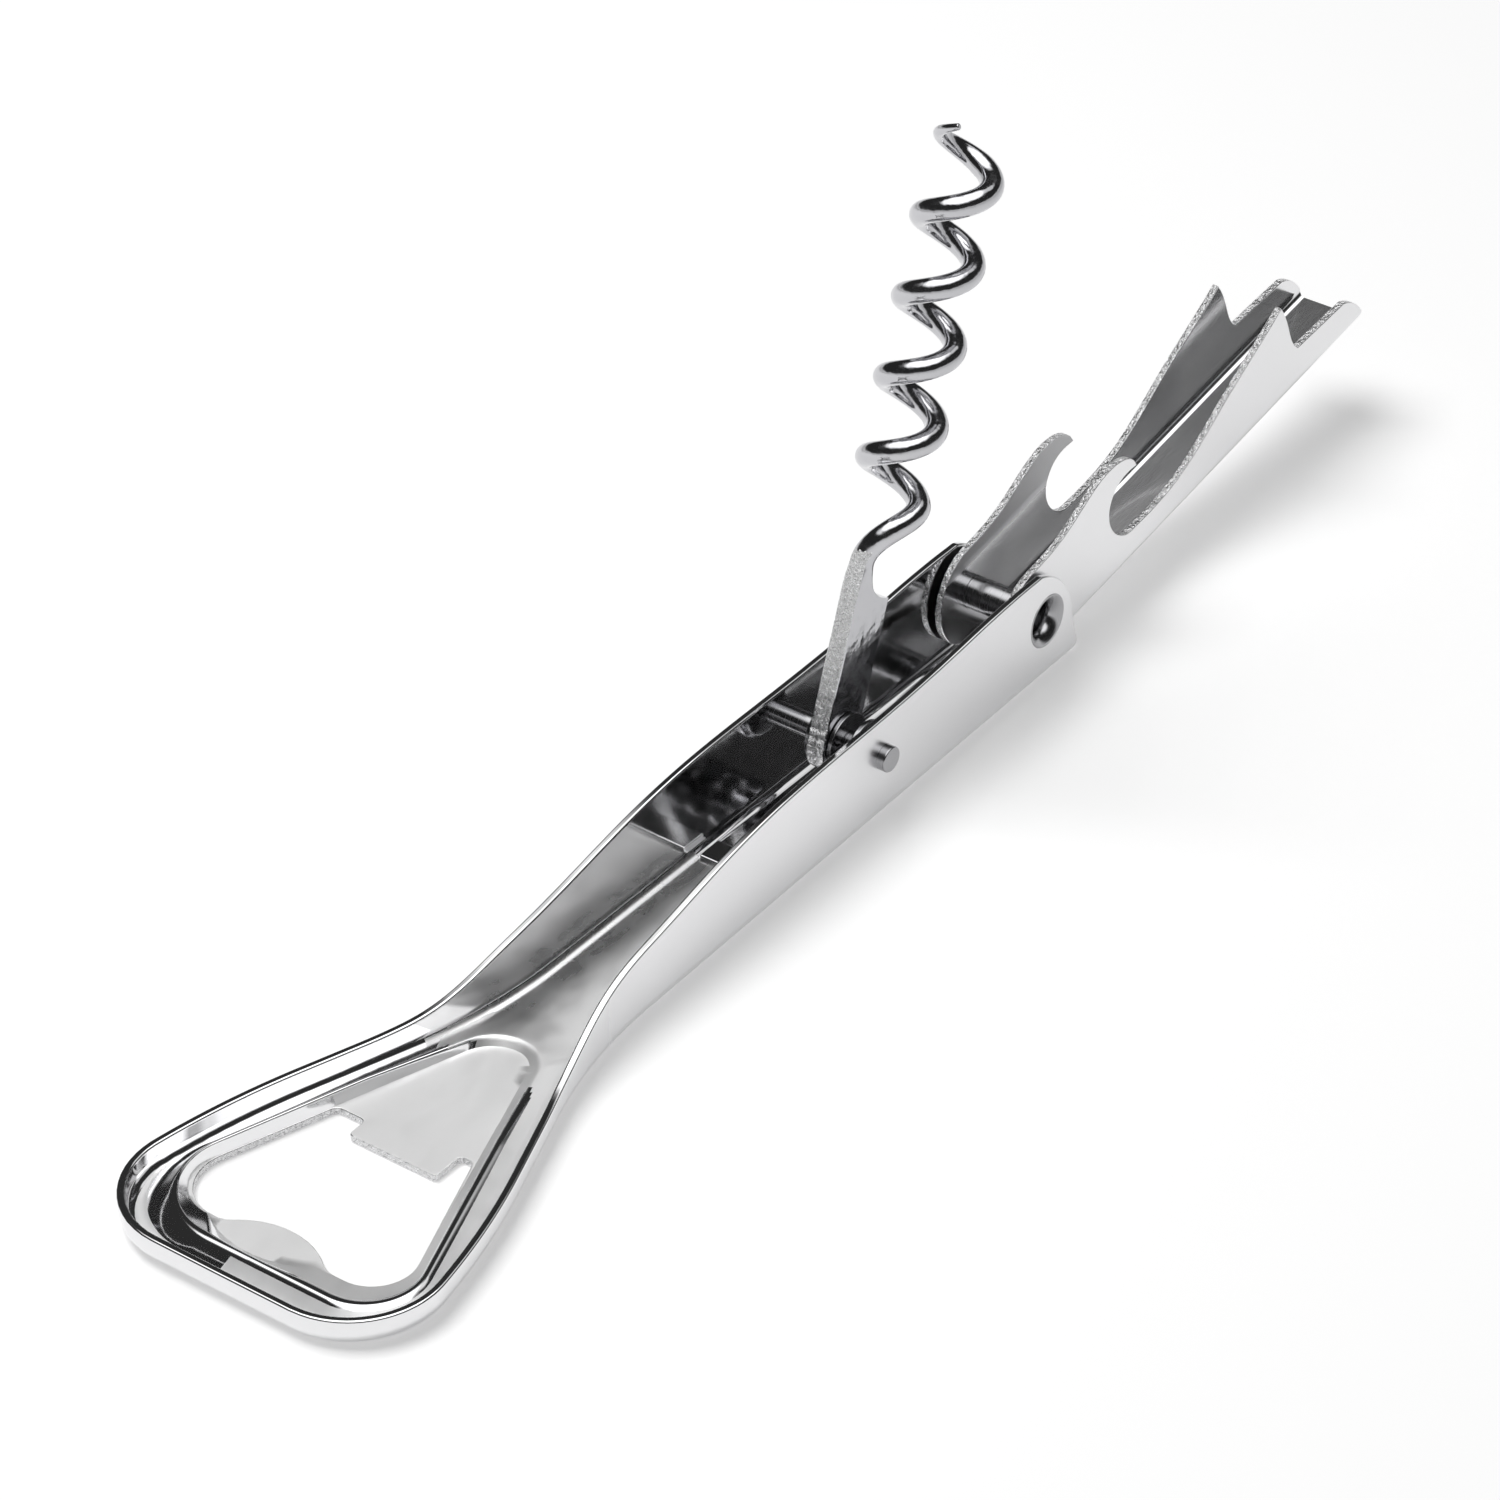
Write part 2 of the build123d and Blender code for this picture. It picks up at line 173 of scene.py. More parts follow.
class CorkscrewStudio(bpy.types.PropertyGroup):
    lens: bpy.props.FloatProperty(
        name="Lens", description="Focal length on a 36 mm sensor, in millimetres", default=139.2, min=20)
    azimuth: bpy.props.FloatProperty(
        name="Azimuth", description="Where the camera stands round the object", default=math.radians(-52.524),
        subtype="ANGLE")
    elevation: bpy.props.FloatProperty(
        name="Elevation", description="How high the camera looks down from", default=math.radians(35.908),
        subtype="ANGLE")
    roll: bpy.props.FloatProperty(
        name="Roll", description="Turn of the camera about its own axis", default=math.radians(-1.22),
        subtype="ANGLE")
    distance: bpy.props.FloatProperty(
        name="Distance", description="From the camera to its target", default=0.5545, unit="LENGTH")
    target: bpy.props.FloatVectorProperty(
        name="Target", description="Point that the camera looks at", default=(0.00144, 0.01121, 0.0),
        subtype="TRANSLATION")
    floor_colour: bpy.props.StringProperty(
        name="Floor colour", description="Colour of the floor, as sRGB hex", default="F4F4F4")


# Materials

EVEN = (1, 1, 1)  # a grain that is stretched no way


def linear(hex_colour):
    """An sRGB hex colour as linear RGBA."""
    channels = [int(hex_colour[i:i + 2], 16) / 255 for i in (0, 2, 4)]
    return [c / 12.92 if c <= 0.04045 else ((c + 0.055) / 1.055) ** 2.4 for c in channels] + [1.0]


def add_node(tree, kind, settings=None, links=None, **values):
    """Adds a node: settings are its own options, values its sockets by name, links its sockets' sources."""
    node = tree.nodes.new(kind)
    for option, value in (settings or {}).items():
        setattr(node, option, value)
    for socket, value in values.items():
        node.inputs[socket.replace("_", " ")].default_value = value
    for socket, source in (links or {}).items():
        tree.links.new(source, node.inputs[socket])
    return node


def new_material(name):
    material = bpy.data.materials.new(name)
    material.use_nodes = True
    material.node_tree.nodes.clear()
    return material, material.node_tree


def metal_material(name, colour, roughness):
    """A plated metal with its shader, or the one that is already there."""
    material = bpy.data.materials.get(name)
    if material:
        return material, None, None
    material, tree = new_material(name)
    shader = add_node(tree, "ShaderNodeBsdfPrincipled", Metallic=1.0, Base_Color=linear(colour))
    shader.inputs["Roughness"].default_value = roughness
    add_node(tree, "ShaderNodeOutputMaterial", links={"Surface": shader.outputs[0]})
    return material, tree, shader


def grain(tree, size, stretch, detail):
    """Noise whose patches are size millimetres across, longer where stretch is more than 1."""
    place = add_node(tree, "ShaderNodeTexCoord")
    scale = add_node(tree, "ShaderNodeVectorMath", {"operation": "DIVIDE"}, {0: place.outputs["Object"]})
    scale.inputs[1].default_value = [size * MM * part for part in stretch]
    noise = add_node(tree, "ShaderNodeTexNoise", links={"Vector": scale.outputs[0]}, Scale=1.0, Detail=detail)
    return noise.outputs[0]


def graded(tree, heading, start, low, high, to_low=0.0, to_high=1.0):
    """A value that changes along a heading, from low to high millimetres beyond the start point."""
    place = add_node(tree, "ShaderNodeTexCoord")
    offset = add_node(tree, "ShaderNodeVectorMath", {"operation": "SUBTRACT"}, {0: place.outputs["Object"]})
    offset.inputs[1].default_value = [part * MM for part in start]
    reach = add_node(tree, "ShaderNodeVectorMath", {"operation": "DOT_PRODUCT"}, {0: offset.outputs[0]})
    reach.inputs[1].default_value = heading
    value = add_node(tree, "ShaderNodeMapRange", links={"Value": reach.outputs["Value"]},
                     From_Min=low * MM, From_Max=high * MM, To_Min=to_low, To_Max=to_high)
    return value.outputs[0]


def raise_bumps(tree, shader, layers):
    """Adds bump layers, each a grain, a depth in millimetres and a strength."""
    normal = None
    for pattern, depth, strength in layers:
        bump = add_node(tree, "ShaderNodeBump", links={"Height": grain(tree, *pattern)},
                        Distance=depth * MM, Strength=strength)
        if normal:
            tree.links.new(normal, bump.inputs["Normal"])
        normal = bump.outputs[0]
    tree.links.new(normal, shader.inputs["Normal"])


def patchy_metal(name, colour, roughness, patches, span, rough, layers):
    """A metal whose roughness changes in patches of a grain, as the grain goes through its span."""
    material, tree, shader = metal_material(name, colour, roughness)
    if tree:
        value = add_node(tree, "ShaderNodeMapRange", links={"Value": grain(tree, *patches)},
                         From_Min=span[0], From_Max=span[1], To_Min=rough[0], To_Max=rough[1])
        tree.links.new(value.outputs[0], shader.inputs["Roughness"])
        raise_bumps(tree, shader, layers)
    return material


def bright_nickel():
    """Polished nickel plate on pressed sheet: a mirror, wavy from the press, faintly hazed in patches."""
    finish = bpy.context.scene.corkscrew_finish
    rough = finish.nickel_roughness
    press_waves = ((9.0, (2, 1, 1), 1.0), 0.05, 0.4)
    polish_lines = ((0.35, (3, 1, 1), 2.0), 0.0015, 0.35)
    return patchy_metal(
        "bright_nickel_plate", finish.nickel_colour, rough, patches=(2.5, EVEN, 4.0), span=(0.35, 0.7),
        rough=(rough * 0.8, rough * 1.5), layers=[press_waves, polish_lines])


def claw_nickel():
    """Nickel inside the lever's channel: polished, but the ground claws stayed matt under the plate."""
    finish = bpy.context.scene.corkscrew_finish
    rough = finish.nickel_roughness
    material, tree, shader = metal_material("lever_inside_nickel", finish.nickel_colour, rough)
    if tree:
        hinge = (HINGE_X, 0, HINGE_Z)
        up = (-math.sin(LEVER_LIFT), 0, math.cos(LEVER_LIFT))
        out = (math.cos(LEVER_LIFT), 0, math.sin(LEVER_LIFT))
        high_up = graded(tree, up, hinge, 3.4, 4.6)
        ground = add_node(tree, "ShaderNodeMath", {"operation": "MULTIPLY"},
                          {0: high_up, 1: graded(tree, out, hinge, 22, 25, 1, 0)})
        value = add_node(tree, "ShaderNodeMapRange", links={"Value": ground.outputs[0]},
                         To_Min=rough * 2, To_Max=0.75)
        tree.links.new(value.outputs[0], shader.inputs["Roughness"])
        raise_bumps(tree, shader, [((0.3, (6, 1, 1), 2.0), 0.006, 0.5), ((6.0, (3, 1, 1), 1.0), 0.06, 0.4)])
    return material


def rolled_nickel():
    """Nickel on the sheet's outside: fine rolling lines along the handle blur what the wall mirrors."""
    finish = bpy.context.scene.corkscrew_finish
    rough = finish.wall_roughness
    material, tree, shader = metal_material("rolled_nickel_plate", finish.nickel_colour, rough)
    if tree:
        # The loop's bends were polished brighter than the straight walls
        value = graded(tree, (1, 0, 0), (0, 0, 0), -62, -40, finish.nickel_roughness * 1.5, rough)
        tree.links.new(value, shader.inputs["Roughness"])
        raise_bumps(tree, shader, [((0.12, (25, 1, 1), 2.0), 0.002, 0.4), ((6.0, (3, 1, 1), 1.0), 0.1, 0.35)])
    return material


def satin_nickel():
    """Nickel on the pressed floor and tongue: the press left it satin, with a fine sparkling grain. Its
    colour is lighter than the polished plate's: painted light for the brighter light that these up-facing
    faces catch.
    """
    finish = bpy.context.scene.corkscrew_finish
    rough = finish.satin_roughness
    material, tree, shader = metal_material("satin_nickel_plate", finish.satin_colour_with_painted_light, rough)
    if tree:
        patches = add_node(tree, "ShaderNodeMapRange", links={"Value": grain(tree, 1.6, (2, 1, 1), 5.0)},
                           From_Min=0.35, From_Max=0.7, To_Min=0.92, To_Max=1.1)
        # In the channel the far side of the floor keeps more of its polish
        in_channel = graded(tree, (1, 0, 0), (0, 0, 0), -54, -44)
        polish = add_node(tree, "ShaderNodeMath", {"operation": "MULTIPLY"},
                          {0: in_channel, 1: graded(tree, (0, 1, 0), (0, 0, 0), -3, 3)})
        value = add_node(tree, "ShaderNodeMapRange", links={"Value": polish.outputs[0]},
                         To_Min=rough, To_Max=rough * 0.45)
        value = add_node(tree, "ShaderNodeMath", {"operation": "MULTIPLY"},
                         {0: value.outputs[0], 1: patches.outputs[0]})
        tree.links.new(value.outputs[0], shader.inputs["Roughness"])
        raise_bumps(tree, shader, [((0.16, EVEN, 3.0), 0.012, 0.6), ((8.0, EVEN, 1.0), 0.06, 0.2)])
    return material


def sheared_nickel():
    """Plated sheared edge: the punch tore the steel, so the plate over it sparkles in rough facets."""
    finish = bpy.context.scene.corkscrew_finish
    tears = (0.32, EVEN, 4.0)
    return patchy_metal(
        "sheared_nickel_edge", finish.nickel_colour, 0.2, patches=tears, span=(0.35, 0.65),
        rough=(0.12, 0.4), layers=[(tears, 0.35, 1.0), ((1.1, EVEN, 1.0), 0.4, 0.8)])


def drawn_nickel():
    """Nickel on the drawn wire, with faint draw lines along it. Its colour is set greyer than the sheet's:
    painted shade for the darker surroundings that the coil mirrors.
    """
    finish = bpy.context.scene.corkscrew_finish
    draw_lines = ((0.2, (1, 1, 4), 2.0), 0.004, 0.5)
    return patchy_metal(
        "drawn_nickel_wire", finish.wire_colour_with_painted_shade, 0.12, patches=(1.2, EVEN, 4.0), span=(0.35, 0.7),
        rough=(0.08, 0.2), layers=[((1.6, EVEN, 2.0), 0.12, 0.6), draw_lines])


def plain_steel():
    """Turned plated steel of the pin, rivet and washers: fine rings round their axis from the lathe. Its
    colour is partly the steel's own grey and partly painted shade for their dark sides.
    """
    finish = bpy.context.scene.corkscrew_finish
    rings = (0.07, (60, 1, 60), 1.0)
    return patchy_metal(
        "turned_pin_steel", finish.steel_colour_with_painted_shade, 0.18, patches=rings, span=(0.3, 0.7),
        rough=(0.12, 0.28), layers=[(rings, 0.004, 0.5)])


# Curves


def spline(points, start, end, step):
    """Points along a smooth curve through the given ones, with a heading at each end."""
    path = np.array(points, float)
    gaps = np.linalg.norm(np.diff(path, axis=0), axis=1)
    count = len(path)
    system = np.zeros((count, count))
    sides = np.zeros(path.shape)
    system[0, 0] = system[-1, -1] = 1
    sides[0] = np.array(start) / np.linalg.norm(start)
    sides[-1] = np.array(end) / np.linalg.norm(end)
    for k in range(1, count - 1):
        before, after = gaps[k - 1], gaps[k]
        system[k, k - 1:k + 2] = 1 / before, 2 / before + 2 / after, 1 / after
        sides[k] = 3 * ((path[k] - path[k - 1]) / before ** 2 + (path[k + 1] - path[k]) / after ** 2)
    slopes = np.linalg.solve(system, sides)
    found = [path[0]]
    for k, gap in enumerate(gaps):
        steps = max(2, math.ceil(gap / step))
        for n in range(1, steps + 1):
            t = n / steps
            found.append(
                (1 + 2 * t) * (1 - t) ** 2 * path[k] + t * (1 - t) ** 2 * gap * slopes[k]
                + t * t * (3 - 2 * t) * path[k + 1] + t * t * (t - 1) * gap * slopes[k + 1])
    return [tuple(point) for point in found]


def arc(centre, radius, start, end, steps):
    """Points on a plane arc, with angles in degrees."""
    angles = [math.radians(start + (end - start) * n / steps) for n in range(steps + 1)]
    return [(centre[0] + radius * math.cos(a), centre[1] + radius * math.sin(a)) for a in angles]


def arc_through(first, middle, last, steps):
    """Points on the plane arc from first to last through middle."""
    (ax, ay), (bx, by), (cx, cy) = first, middle, last
    twice = 2 * (ax * (by - cy) + bx * (cy - ay) + cx * (ay - by))
    a2, b2, c2 = ax * ax + ay * ay, bx * bx + by * by, cx * cx + cy * cy
    centre = (
        (a2 * (by - cy) + b2 * (cy - ay) + c2 * (ay - by)) / twice,
        (a2 * (cx - bx) + b2 * (ax - cx) + c2 * (bx - ax)) / twice)
    start, via, end = (
        math.degrees(math.atan2(y - centre[1], x - centre[0])) for x, y in (first, middle, last))
    turn = (end - start) % 360
    if (via - start) % 360 > turn:
        turn -= 360
    return arc(centre, math.dist(first, centre), start, start + turn, steps)


def softened(points, reach, steps, closed=False):
    """The run of points with each corner eased on both sides, over one reach or a reach for each corner."""
    points = [Vector(point) for point in points]
    found = [] if closed else [points[0]]
    count = len(points)
    for k in range(count) if closed else range(1, count - 1):
        corner, before, after = points[k], points[k - 1], points[(k + 1) % count]
        pull = reach[k] if isinstance(reach, (list, tuple)) else reach
        enter = corner + (before - corner) * min(0.45, pull / max((before - corner).length, 1e-9))
        leave = corner + (after - corner) * min(0.45, pull / max((after - corner).length, 1e-9))
        for n in range(steps + 1):
            t = n / steps
            found.append(enter * (1 - t) ** 2 + corner * 2 * t * (1 - t) + leave * t * t)
    return found if closed else found + [points[-1]]


# Modelling steps


def only(*objects):
    """Leaves just these objects selected, the first one active."""
    bpy.ops.object.select_all(action="DESELECT")
    for obj in objects:
        obj.select_set(True)
    bpy.context.view_layer.objects.active = objects[0]


@contextlib.contextmanager
def all_selected(obj):
    """Edit mode on one object, with all of it selected."""
    only(obj)
    bpy.ops.object.mode_set(mode="EDIT")
    bpy.ops.mesh.select_all(action="SELECT")
    yield
    bpy.ops.object.mode_set(mode="OBJECT")


def place_points(obj, points):
    """Puts the object's vertices at these points, in order."""
    flat = [c for point in points for c in tuple(point)]
    obj.data.vertices.foreach_set("co", flat)
    obj.data.update()


def drawn_sheet(name, rows):
    """A grid drawn over rows of points."""
    bpy.ops.object.select_all(action="DESELECT")
    bpy.ops.mesh.primitive_grid_add(x_subdivisions=len(rows[0]) - 1, y_subdivisions=len(rows) - 1, size=1)
    obj = bpy.context.object
    obj.name = name
    place_points(obj, [point for row in rows for point in row])
    return obj


def outline_plate(name, points, filled=True):
    """A flat plate, or only its edge, with this outline."""
    bpy.ops.object.select_all(action="DESELECT")
    fill = "NGON" if filled else "NOTHING"
    bpy.ops.mesh.primitive_circle_add(vertices=len(points), radius=1, fill_type=fill)
    obj = bpy.context.object
    obj.name = name
    place_points(obj, points)
    return obj


def tidy(obj):
    """Merges doubled points and turns the faces outwards."""
    with all_selected(obj):
        bpy.ops.mesh.remove_doubles(threshold=WELD)
        bpy.ops.mesh.dissolve_degenerate(threshold=WELD)
        bpy.ops.mesh.normals_make_consistent(inside=False)


def prism(name, points, push):
    """A closed block: an outline pushed along a vector."""
    obj = outline_plate(name, points)
    with all_selected(obj):
        bpy.ops.mesh.extrude_region_move(TRANSFORM_OT_translate={"value": push})
    tidy(obj)
    return obj


def block(location, size):
    """A square block."""
    bpy.ops.object.select_all(action="DESELECT")
    bpy.ops.mesh.primitive_cube_add(size=1, location=location, scale=size)
    bpy.ops.object.transform_apply(location=True, rotation=True, scale=True)
    return bpy.context.object


def turned(name, profile, closed=False):
    """A piece turned about the Y axis from a profile of (radius, y) points, closed for a ring."""
    obj = outline_plate(name, [(radius, y, 0) for radius, y in profile], filled=False)
    if not closed:
        shape = bmesh.new()
        shape.from_mesh(obj.data)
        shape.verts.ensure_lookup_table()
        shape.edges.remove(shape.edges.get((shape.verts[0], shape.verts[-1])))
        shape.to_mesh(obj.data)
        shape.free()
    with all_selected(obj):
        bpy.ops.mesh.spin(steps=64, angle=math.tau, center=(0, 0, 0), axis=(0, 1, 0))
    tidy(obj)
    return obj


def bar(name, radius, reach=CUT_REACH):
    """A round bar about the Y axis."""
    return turned(name, [(0, -reach), (radius, -reach), (radius, reach), (0, reach)])


def modify(obj, kind, **settings):
    """Adds a modifier and applies it."""
    only(obj)
    modifier = obj.modifiers.new(kind.title(), kind)
    for option, value in settings.items():
        setattr(modifier, option, value)
    bpy.ops.object.modifier_apply(modifier=modifier.name)


def combine(obj, tool, operation):
    """Joins or cuts obj with a tool block, which is used up."""
    modify(obj, "BOOLEAN", object=tool, operation=operation, solver="EXACT")
    bpy.data.objects.remove(tool)


def moved(obj, rotation=(0, 0, 0), location=(0, 0, 0), scale=1.0):
    """Turns and moves a piece into place, and keeps the place in its mesh."""
    only(obj)
    obj.rotation_euler = rotation
    obj.location = location
    obj.scale = (scale, scale, scale)
    bpy.ops.object.transform_apply(location=True, rotation=True, scale=True)
    return obj


def offset_outline(points, distance):
    """A closed plane outline moved outwards by a distance, or inwards where it is negative."""
    count = len(points)
    area = sum(points[k - 1][0] * points[k][1] - points[k][0] * points[k - 1][1] for k in range(count))
    side = math.copysign(1, area) * distance
    found = []
    for k in range(count):
        here = Vector(points[k][:2])
        before = (here - Vector(points[k - 1][:2])).normalized()
        after = (Vector(points[(k + 1) % count][:2]) - here).normalized()
        bisector = before + after
        out = Vector((bisector.y, -bisector.x)).normalized()
        miter = max(0.4, out.dot(Vector((before.y, -before.x))))
        found.append(here + out * side / miter)
    return found


def lipped_block(name, outline, levels, lift):
    """A closed block over an outline, wider or narrower at some of its levels; lift places (a, b, level)."""
    rows = []
    for level, spread in levels:
        row = [Vector(lift(p.x, p.y, level)) for p in offset_outline(outline, spread)]
        rows.append(row + [row[0].copy()])
    obj = drawn_sheet(name, rows)
    tidy(obj)
    close_holes(obj)
    return obj


def close_holes(obj):
    """Caps every open end with a flat face."""
    with all_selected(obj):
        bpy.ops.mesh.fill_holes(sides=0)
        bpy.ops.mesh.select_all(action="SELECT")
        bpy.ops.mesh.normals_make_consistent(inside=False)


def eased_edge(level, towards, softness):
    """Levels and spreads that leave a rounded edge at a level, in order towards the middle of the sheet."""
    found = []
    for n in range(4):
        angle = math.pi / 2 * n / 3
        found.append((level + towards * softness * (1 - math.cos(angle)), softness * (1 - math.sin(angle))))
    return found


def finish_piece(obj, materials, body, slot, *nodes):
    """Smooth shading, finishes, metres, and the place in the frame of the nodes that it replaces."""
    only(obj)
    bpy.ops.object.shade_smooth_by_angle(angle=SHARP)
    modify(obj, "WEIGHTED_NORMAL", mode="FACE_AREA", weight=80, keep_sharp=True)
    moved(obj, scale=MM)
    finishes = [face.material_index for face in obj.data.polygons]
    obj.data.materials.clear()
    for material in materials:
        obj.data.materials.append(material)
    obj.data.polygons.foreach_set("material_index", finishes)
    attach(obj, body)
    if nodes:
        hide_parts(*nodes)


def give_finish(obj, index, test):
    """Gives material number index to the faces that pass the test of centre and normal, in millimetres."""
    for face in obj.data.polygons:
        if test(face.center, face.normal):
            face.material_index = index


# Handle


def half_width(x):
    return CHANNEL_HALF - CHANNEL_TAPER * x


def tangent_arc(start, heading, end, steps):
    """Points on the arc that leaves start along heading and ends at end, and the heading there."""
    start, heading, end = Vector(start), Vector(heading).normalized(), Vector(end)
    chord = end - start
    half = math.atan2(heading.x * chord.y - heading.y * chord.x, heading.dot(chord))
    points = []
    for n in range(1, steps + 1):
        turn = half * n / steps
        reach = chord.length * math.sin(turn) / math.sin(half)
        points.append(start + Matrix.Rotation(turn, 2) @ heading * reach)
    return points, Matrix.Rotation(2 * half, 2) @ heading


def plan_half():
    """Half the handle's outer plan in close steps, from the channel's end to the loop's end."""
    spacing = 0.15
    straight_end = Vector((FLARE_START, half_width(FLARE_START)))
    straight = run_of(Vector((BLANK_END, half_width(BLANK_END))), straight_end, spacing)
    heading = Vector((-1, CHANNEL_TAPER)).normalized()
    swell, heading = tangent_arc(straight_end, heading, FLANK_START, 120)
    flank = run_of(swell[-1], swell[-1] + heading * FLANK_LENGTH, spacing)
    turn, heading = tangent_arc(flank[-1], heading, WIDEST, 100)
    inward = Vector((-heading.y, heading.x))
    centre = turn[-1] + inward * LOOP_CORNER
    first = math.degrees(math.atan2(-inward.y, -inward.x))
    corner = [Vector(p) for p in arc(centre, LOOP_CORNER, first, 180, 100)]
    base = run_of(corner[-1], Vector((LOOP_END, 0)), spacing)
    return straight + swell + flank[1:] + turn + corner[1:] + base[1:]


def run_of(start, end, spacing):
    """Evenly spaced points on a straight line."""
    steps = math.ceil((end - start).length / spacing)
    return [start.lerp(end, n / steps) for n in range(steps + 1)]


def inward_normals(points):
    """Unit headings into the handle at each point of its half plan."""
    found = []
    for k in range(len(points)):
        ahead = (points[min(k + 1, len(points) - 1)] - points[max(k - 1, 0)]).normalized()
        found.append(Vector((-ahead.y, ahead.x)))
    found[-1] = Vector((1, 0))
    return found


def wall_top_curve():
    """The wall's top edge as (x, z), from the loop's rim over the hinge and down the nose."""
    slope = spline(
        [(-58, RIM_TOP), (-50, 3.9), (-43, 6.3), (-34, 8.3), (-24, 10.25), (-16, 11.15), (-5, 11.4),
         (10, 11.75), (20, 12.4)], (1, 0), (1, 0.04), 1.0)
    crown = spline([(20, 12.4), (23, WALL_TOP), (26.4, WALL_TOP)], (1, 0.04), (1, 0), 1.0)
    brow = arc_through((26.4, WALL_TOP), (30.3, 9.8), (31.9, 6.0), 40)
    return slope + crown[1:] + brow[1:] + [(32.7, 2.2), (33.0, 0.775)]


def triangle_half(slope, apex_x, tip_x, base_x, base_radius):
    """Half a rounded triangle's outline, from its point on the middle line to the middle of its base."""
    lean = math.atan(slope)
    tip_radius = (apex_x - tip_x) / (1 / math.sin(lean) - 1)
    corner_y = slope * (apex_x - base_x - base_radius) - base_radius / math.cos(lean)
    tip = arc((tip_x - tip_radius, 0), tip_radius, 0, 90 - math.degrees(lean), 16)
    corner = arc((base_x + base_radius, corner_y), base_radius, 90 - math.degrees(lean), 180, 20)
    first, last = Vector(tip[-1]), Vector(corner[0])
    side = [tuple(first.lerp(last, n / 36)) for n in range(1, 36)]
    base = [(base_x, corner_y * (1 - n / 12)) for n in range(1, 13)]
    return tip + side + corner + base


def on_level(points, level):
    """Plan points set at a level."""
    return [Vector((x, y, level)) for x, y in points]


def on_crest(points, drop):
    """Plan points set a drop below the ridge's crest, which falls from its knee towards the lever."""
    return [Vector((x, y, CREST_TOP - CREST_FALL * max(0.0, x - CREST_KNEE) - drop)) for x, y in points]


def swollen(points, side):
    """The outline with its base pushed out behind the cap tooth."""
    base_x = points[-1][0]
    found = []
    for x, y in points:
        swell = max(0.0, 1 - ((side * y - 1.8) / 6.2) ** 2) if x < base_x + 0.01 else 0.0
        found.append((x - TOOTH_SWELL * swell, y))
    return found


def ridge_outlines(side):
    """Matching outlines across one side of the ridge: foot, outer crest, inner crest, mouth."""
    if side == FAR:
        corners = (8.5, 8.0, 7.5)
        inner_x = -38.9
        mouth = triangle_half(0.355, -40.0, -48.1, -81.0, 4.6)
    else:
        corners = (6.6, 5.5, 5.1)
        inner_x = -39.3
        mouth = triangle_half(0.335, -42.3, -48.1, -81.0, 4.2)
    return (
        on_level(triangle_half(0.31, -27, -42.0, -85.9, corners[0]), SHEET),
        on_crest(triangle_half(0.35, -38, -46.9, -84.6, corners[1]), 0),
        on_crest(triangle_half(0.35, inner_x, -47.4, -84.1, corners[2]), 0),
        on_level(swollen(mouth, side), SHEET),
    )


def relief_outlines(side):
    """Matching outlines across one side of the groove that pressing the ridge leaves in the back."""
    if side == FAR:
        corners = (8.2, 7.9, 7.3, 5.3)
        top_x, inner_x, end_x = -36.8, -37.5, -37.6
    else:
        corners = (6.3, 5.7, 5.3, 4.6)
        top_x, inner_x, end_x = -37.6, -39.0, -41.5
    return (
        on_level(triangle_half(0.31, -28.2, -42.4, -85.55, corners[0]), 0),
        on_crest(triangle_half(0.352, top_x, -46.6, -84.9, corners[1]), RELIEF_DROP),
        on_crest(triangle_half(0.352, inner_x, -46.9, -84.3, corners[2]), RELIEF_DROP),
        on_level(swollen(triangle_half(0.352, end_x, -47.7, -81.9, corners[3]), side), 0),
    )


def drawn_in(points, distance):
    """Half an outline moved inwards in plan, its two ends straight along the middle line."""
    found = [points[0] - Vector((distance, 0, 0))]
    for before, point, after in zip(points, points[1:], points[2:]):
        along = (after - before).to_2d().normalized()
        found.append(point + Vector((-along.y, along.x, 0)) * distance)
    return found + [points[-1] + Vector((distance, 0, 0))]


def bend_angle(gap, foot, crest):
    """How far up the inner bend the ridge's slope meets it, 0 where the slope starts on the floor."""
    if gap >= BACK_BEND:
        return 0.0
    rise = (crest.z - SHEET) / (crest - foot).to_2d().length
    low, high = 0.0, math.pi / 2
    for _ in range(40):
        angle = (low + high) / 2
        distance = BACK_BEND - INNER_BEND * math.sin(angle)
        height = BACK_BEND - INNER_BEND * math.cos(angle)
        if SHEET + (distance - gap) * rise > height:
            low = angle
        else:
            high = angle
    return low


def wall_section(point, inward, meet, top, steepness):
    """One cut through the wall: from the floor or the ridge, up the inside, over the rim, down and under."""
    angles = [meet + (math.pi / 2 - meet) * n / 9 for n in range(10)]
    inner = [(BACK_BEND - INNER_BEND * math.sin(a), BACK_BEND - INNER_BEND * math.cos(a)) for a in angles]
    rim, drop = RIM_SOFTNESS, min(RIM_SOFTNESS * steepness, (top - BACK_BEND) * 0.8)
    turns = [math.pi / 2 * n / 5 for n in range(6)]
    over = [(SHEET - rim * (1 - math.cos(a)), top - drop * (1 - math.sin(a))) for a in turns]
    over += [(rim * (1 - math.sin(a)), top - drop * (1 - math.cos(a))) for a in turns]
    angles = [math.pi / 2 * n / 12 for n in range(1, 13)]
    outer = [(BACK_BEND - BACK_BEND * math.cos(a), BACK_BEND - BACK_BEND * math.sin(a)) for a in angles]
    section = inner + over + [(0, BACK_BEND)] + outer
    return [Vector((point.x + inward.x * d, point.y + inward.y * d, z)) for d, z in section]


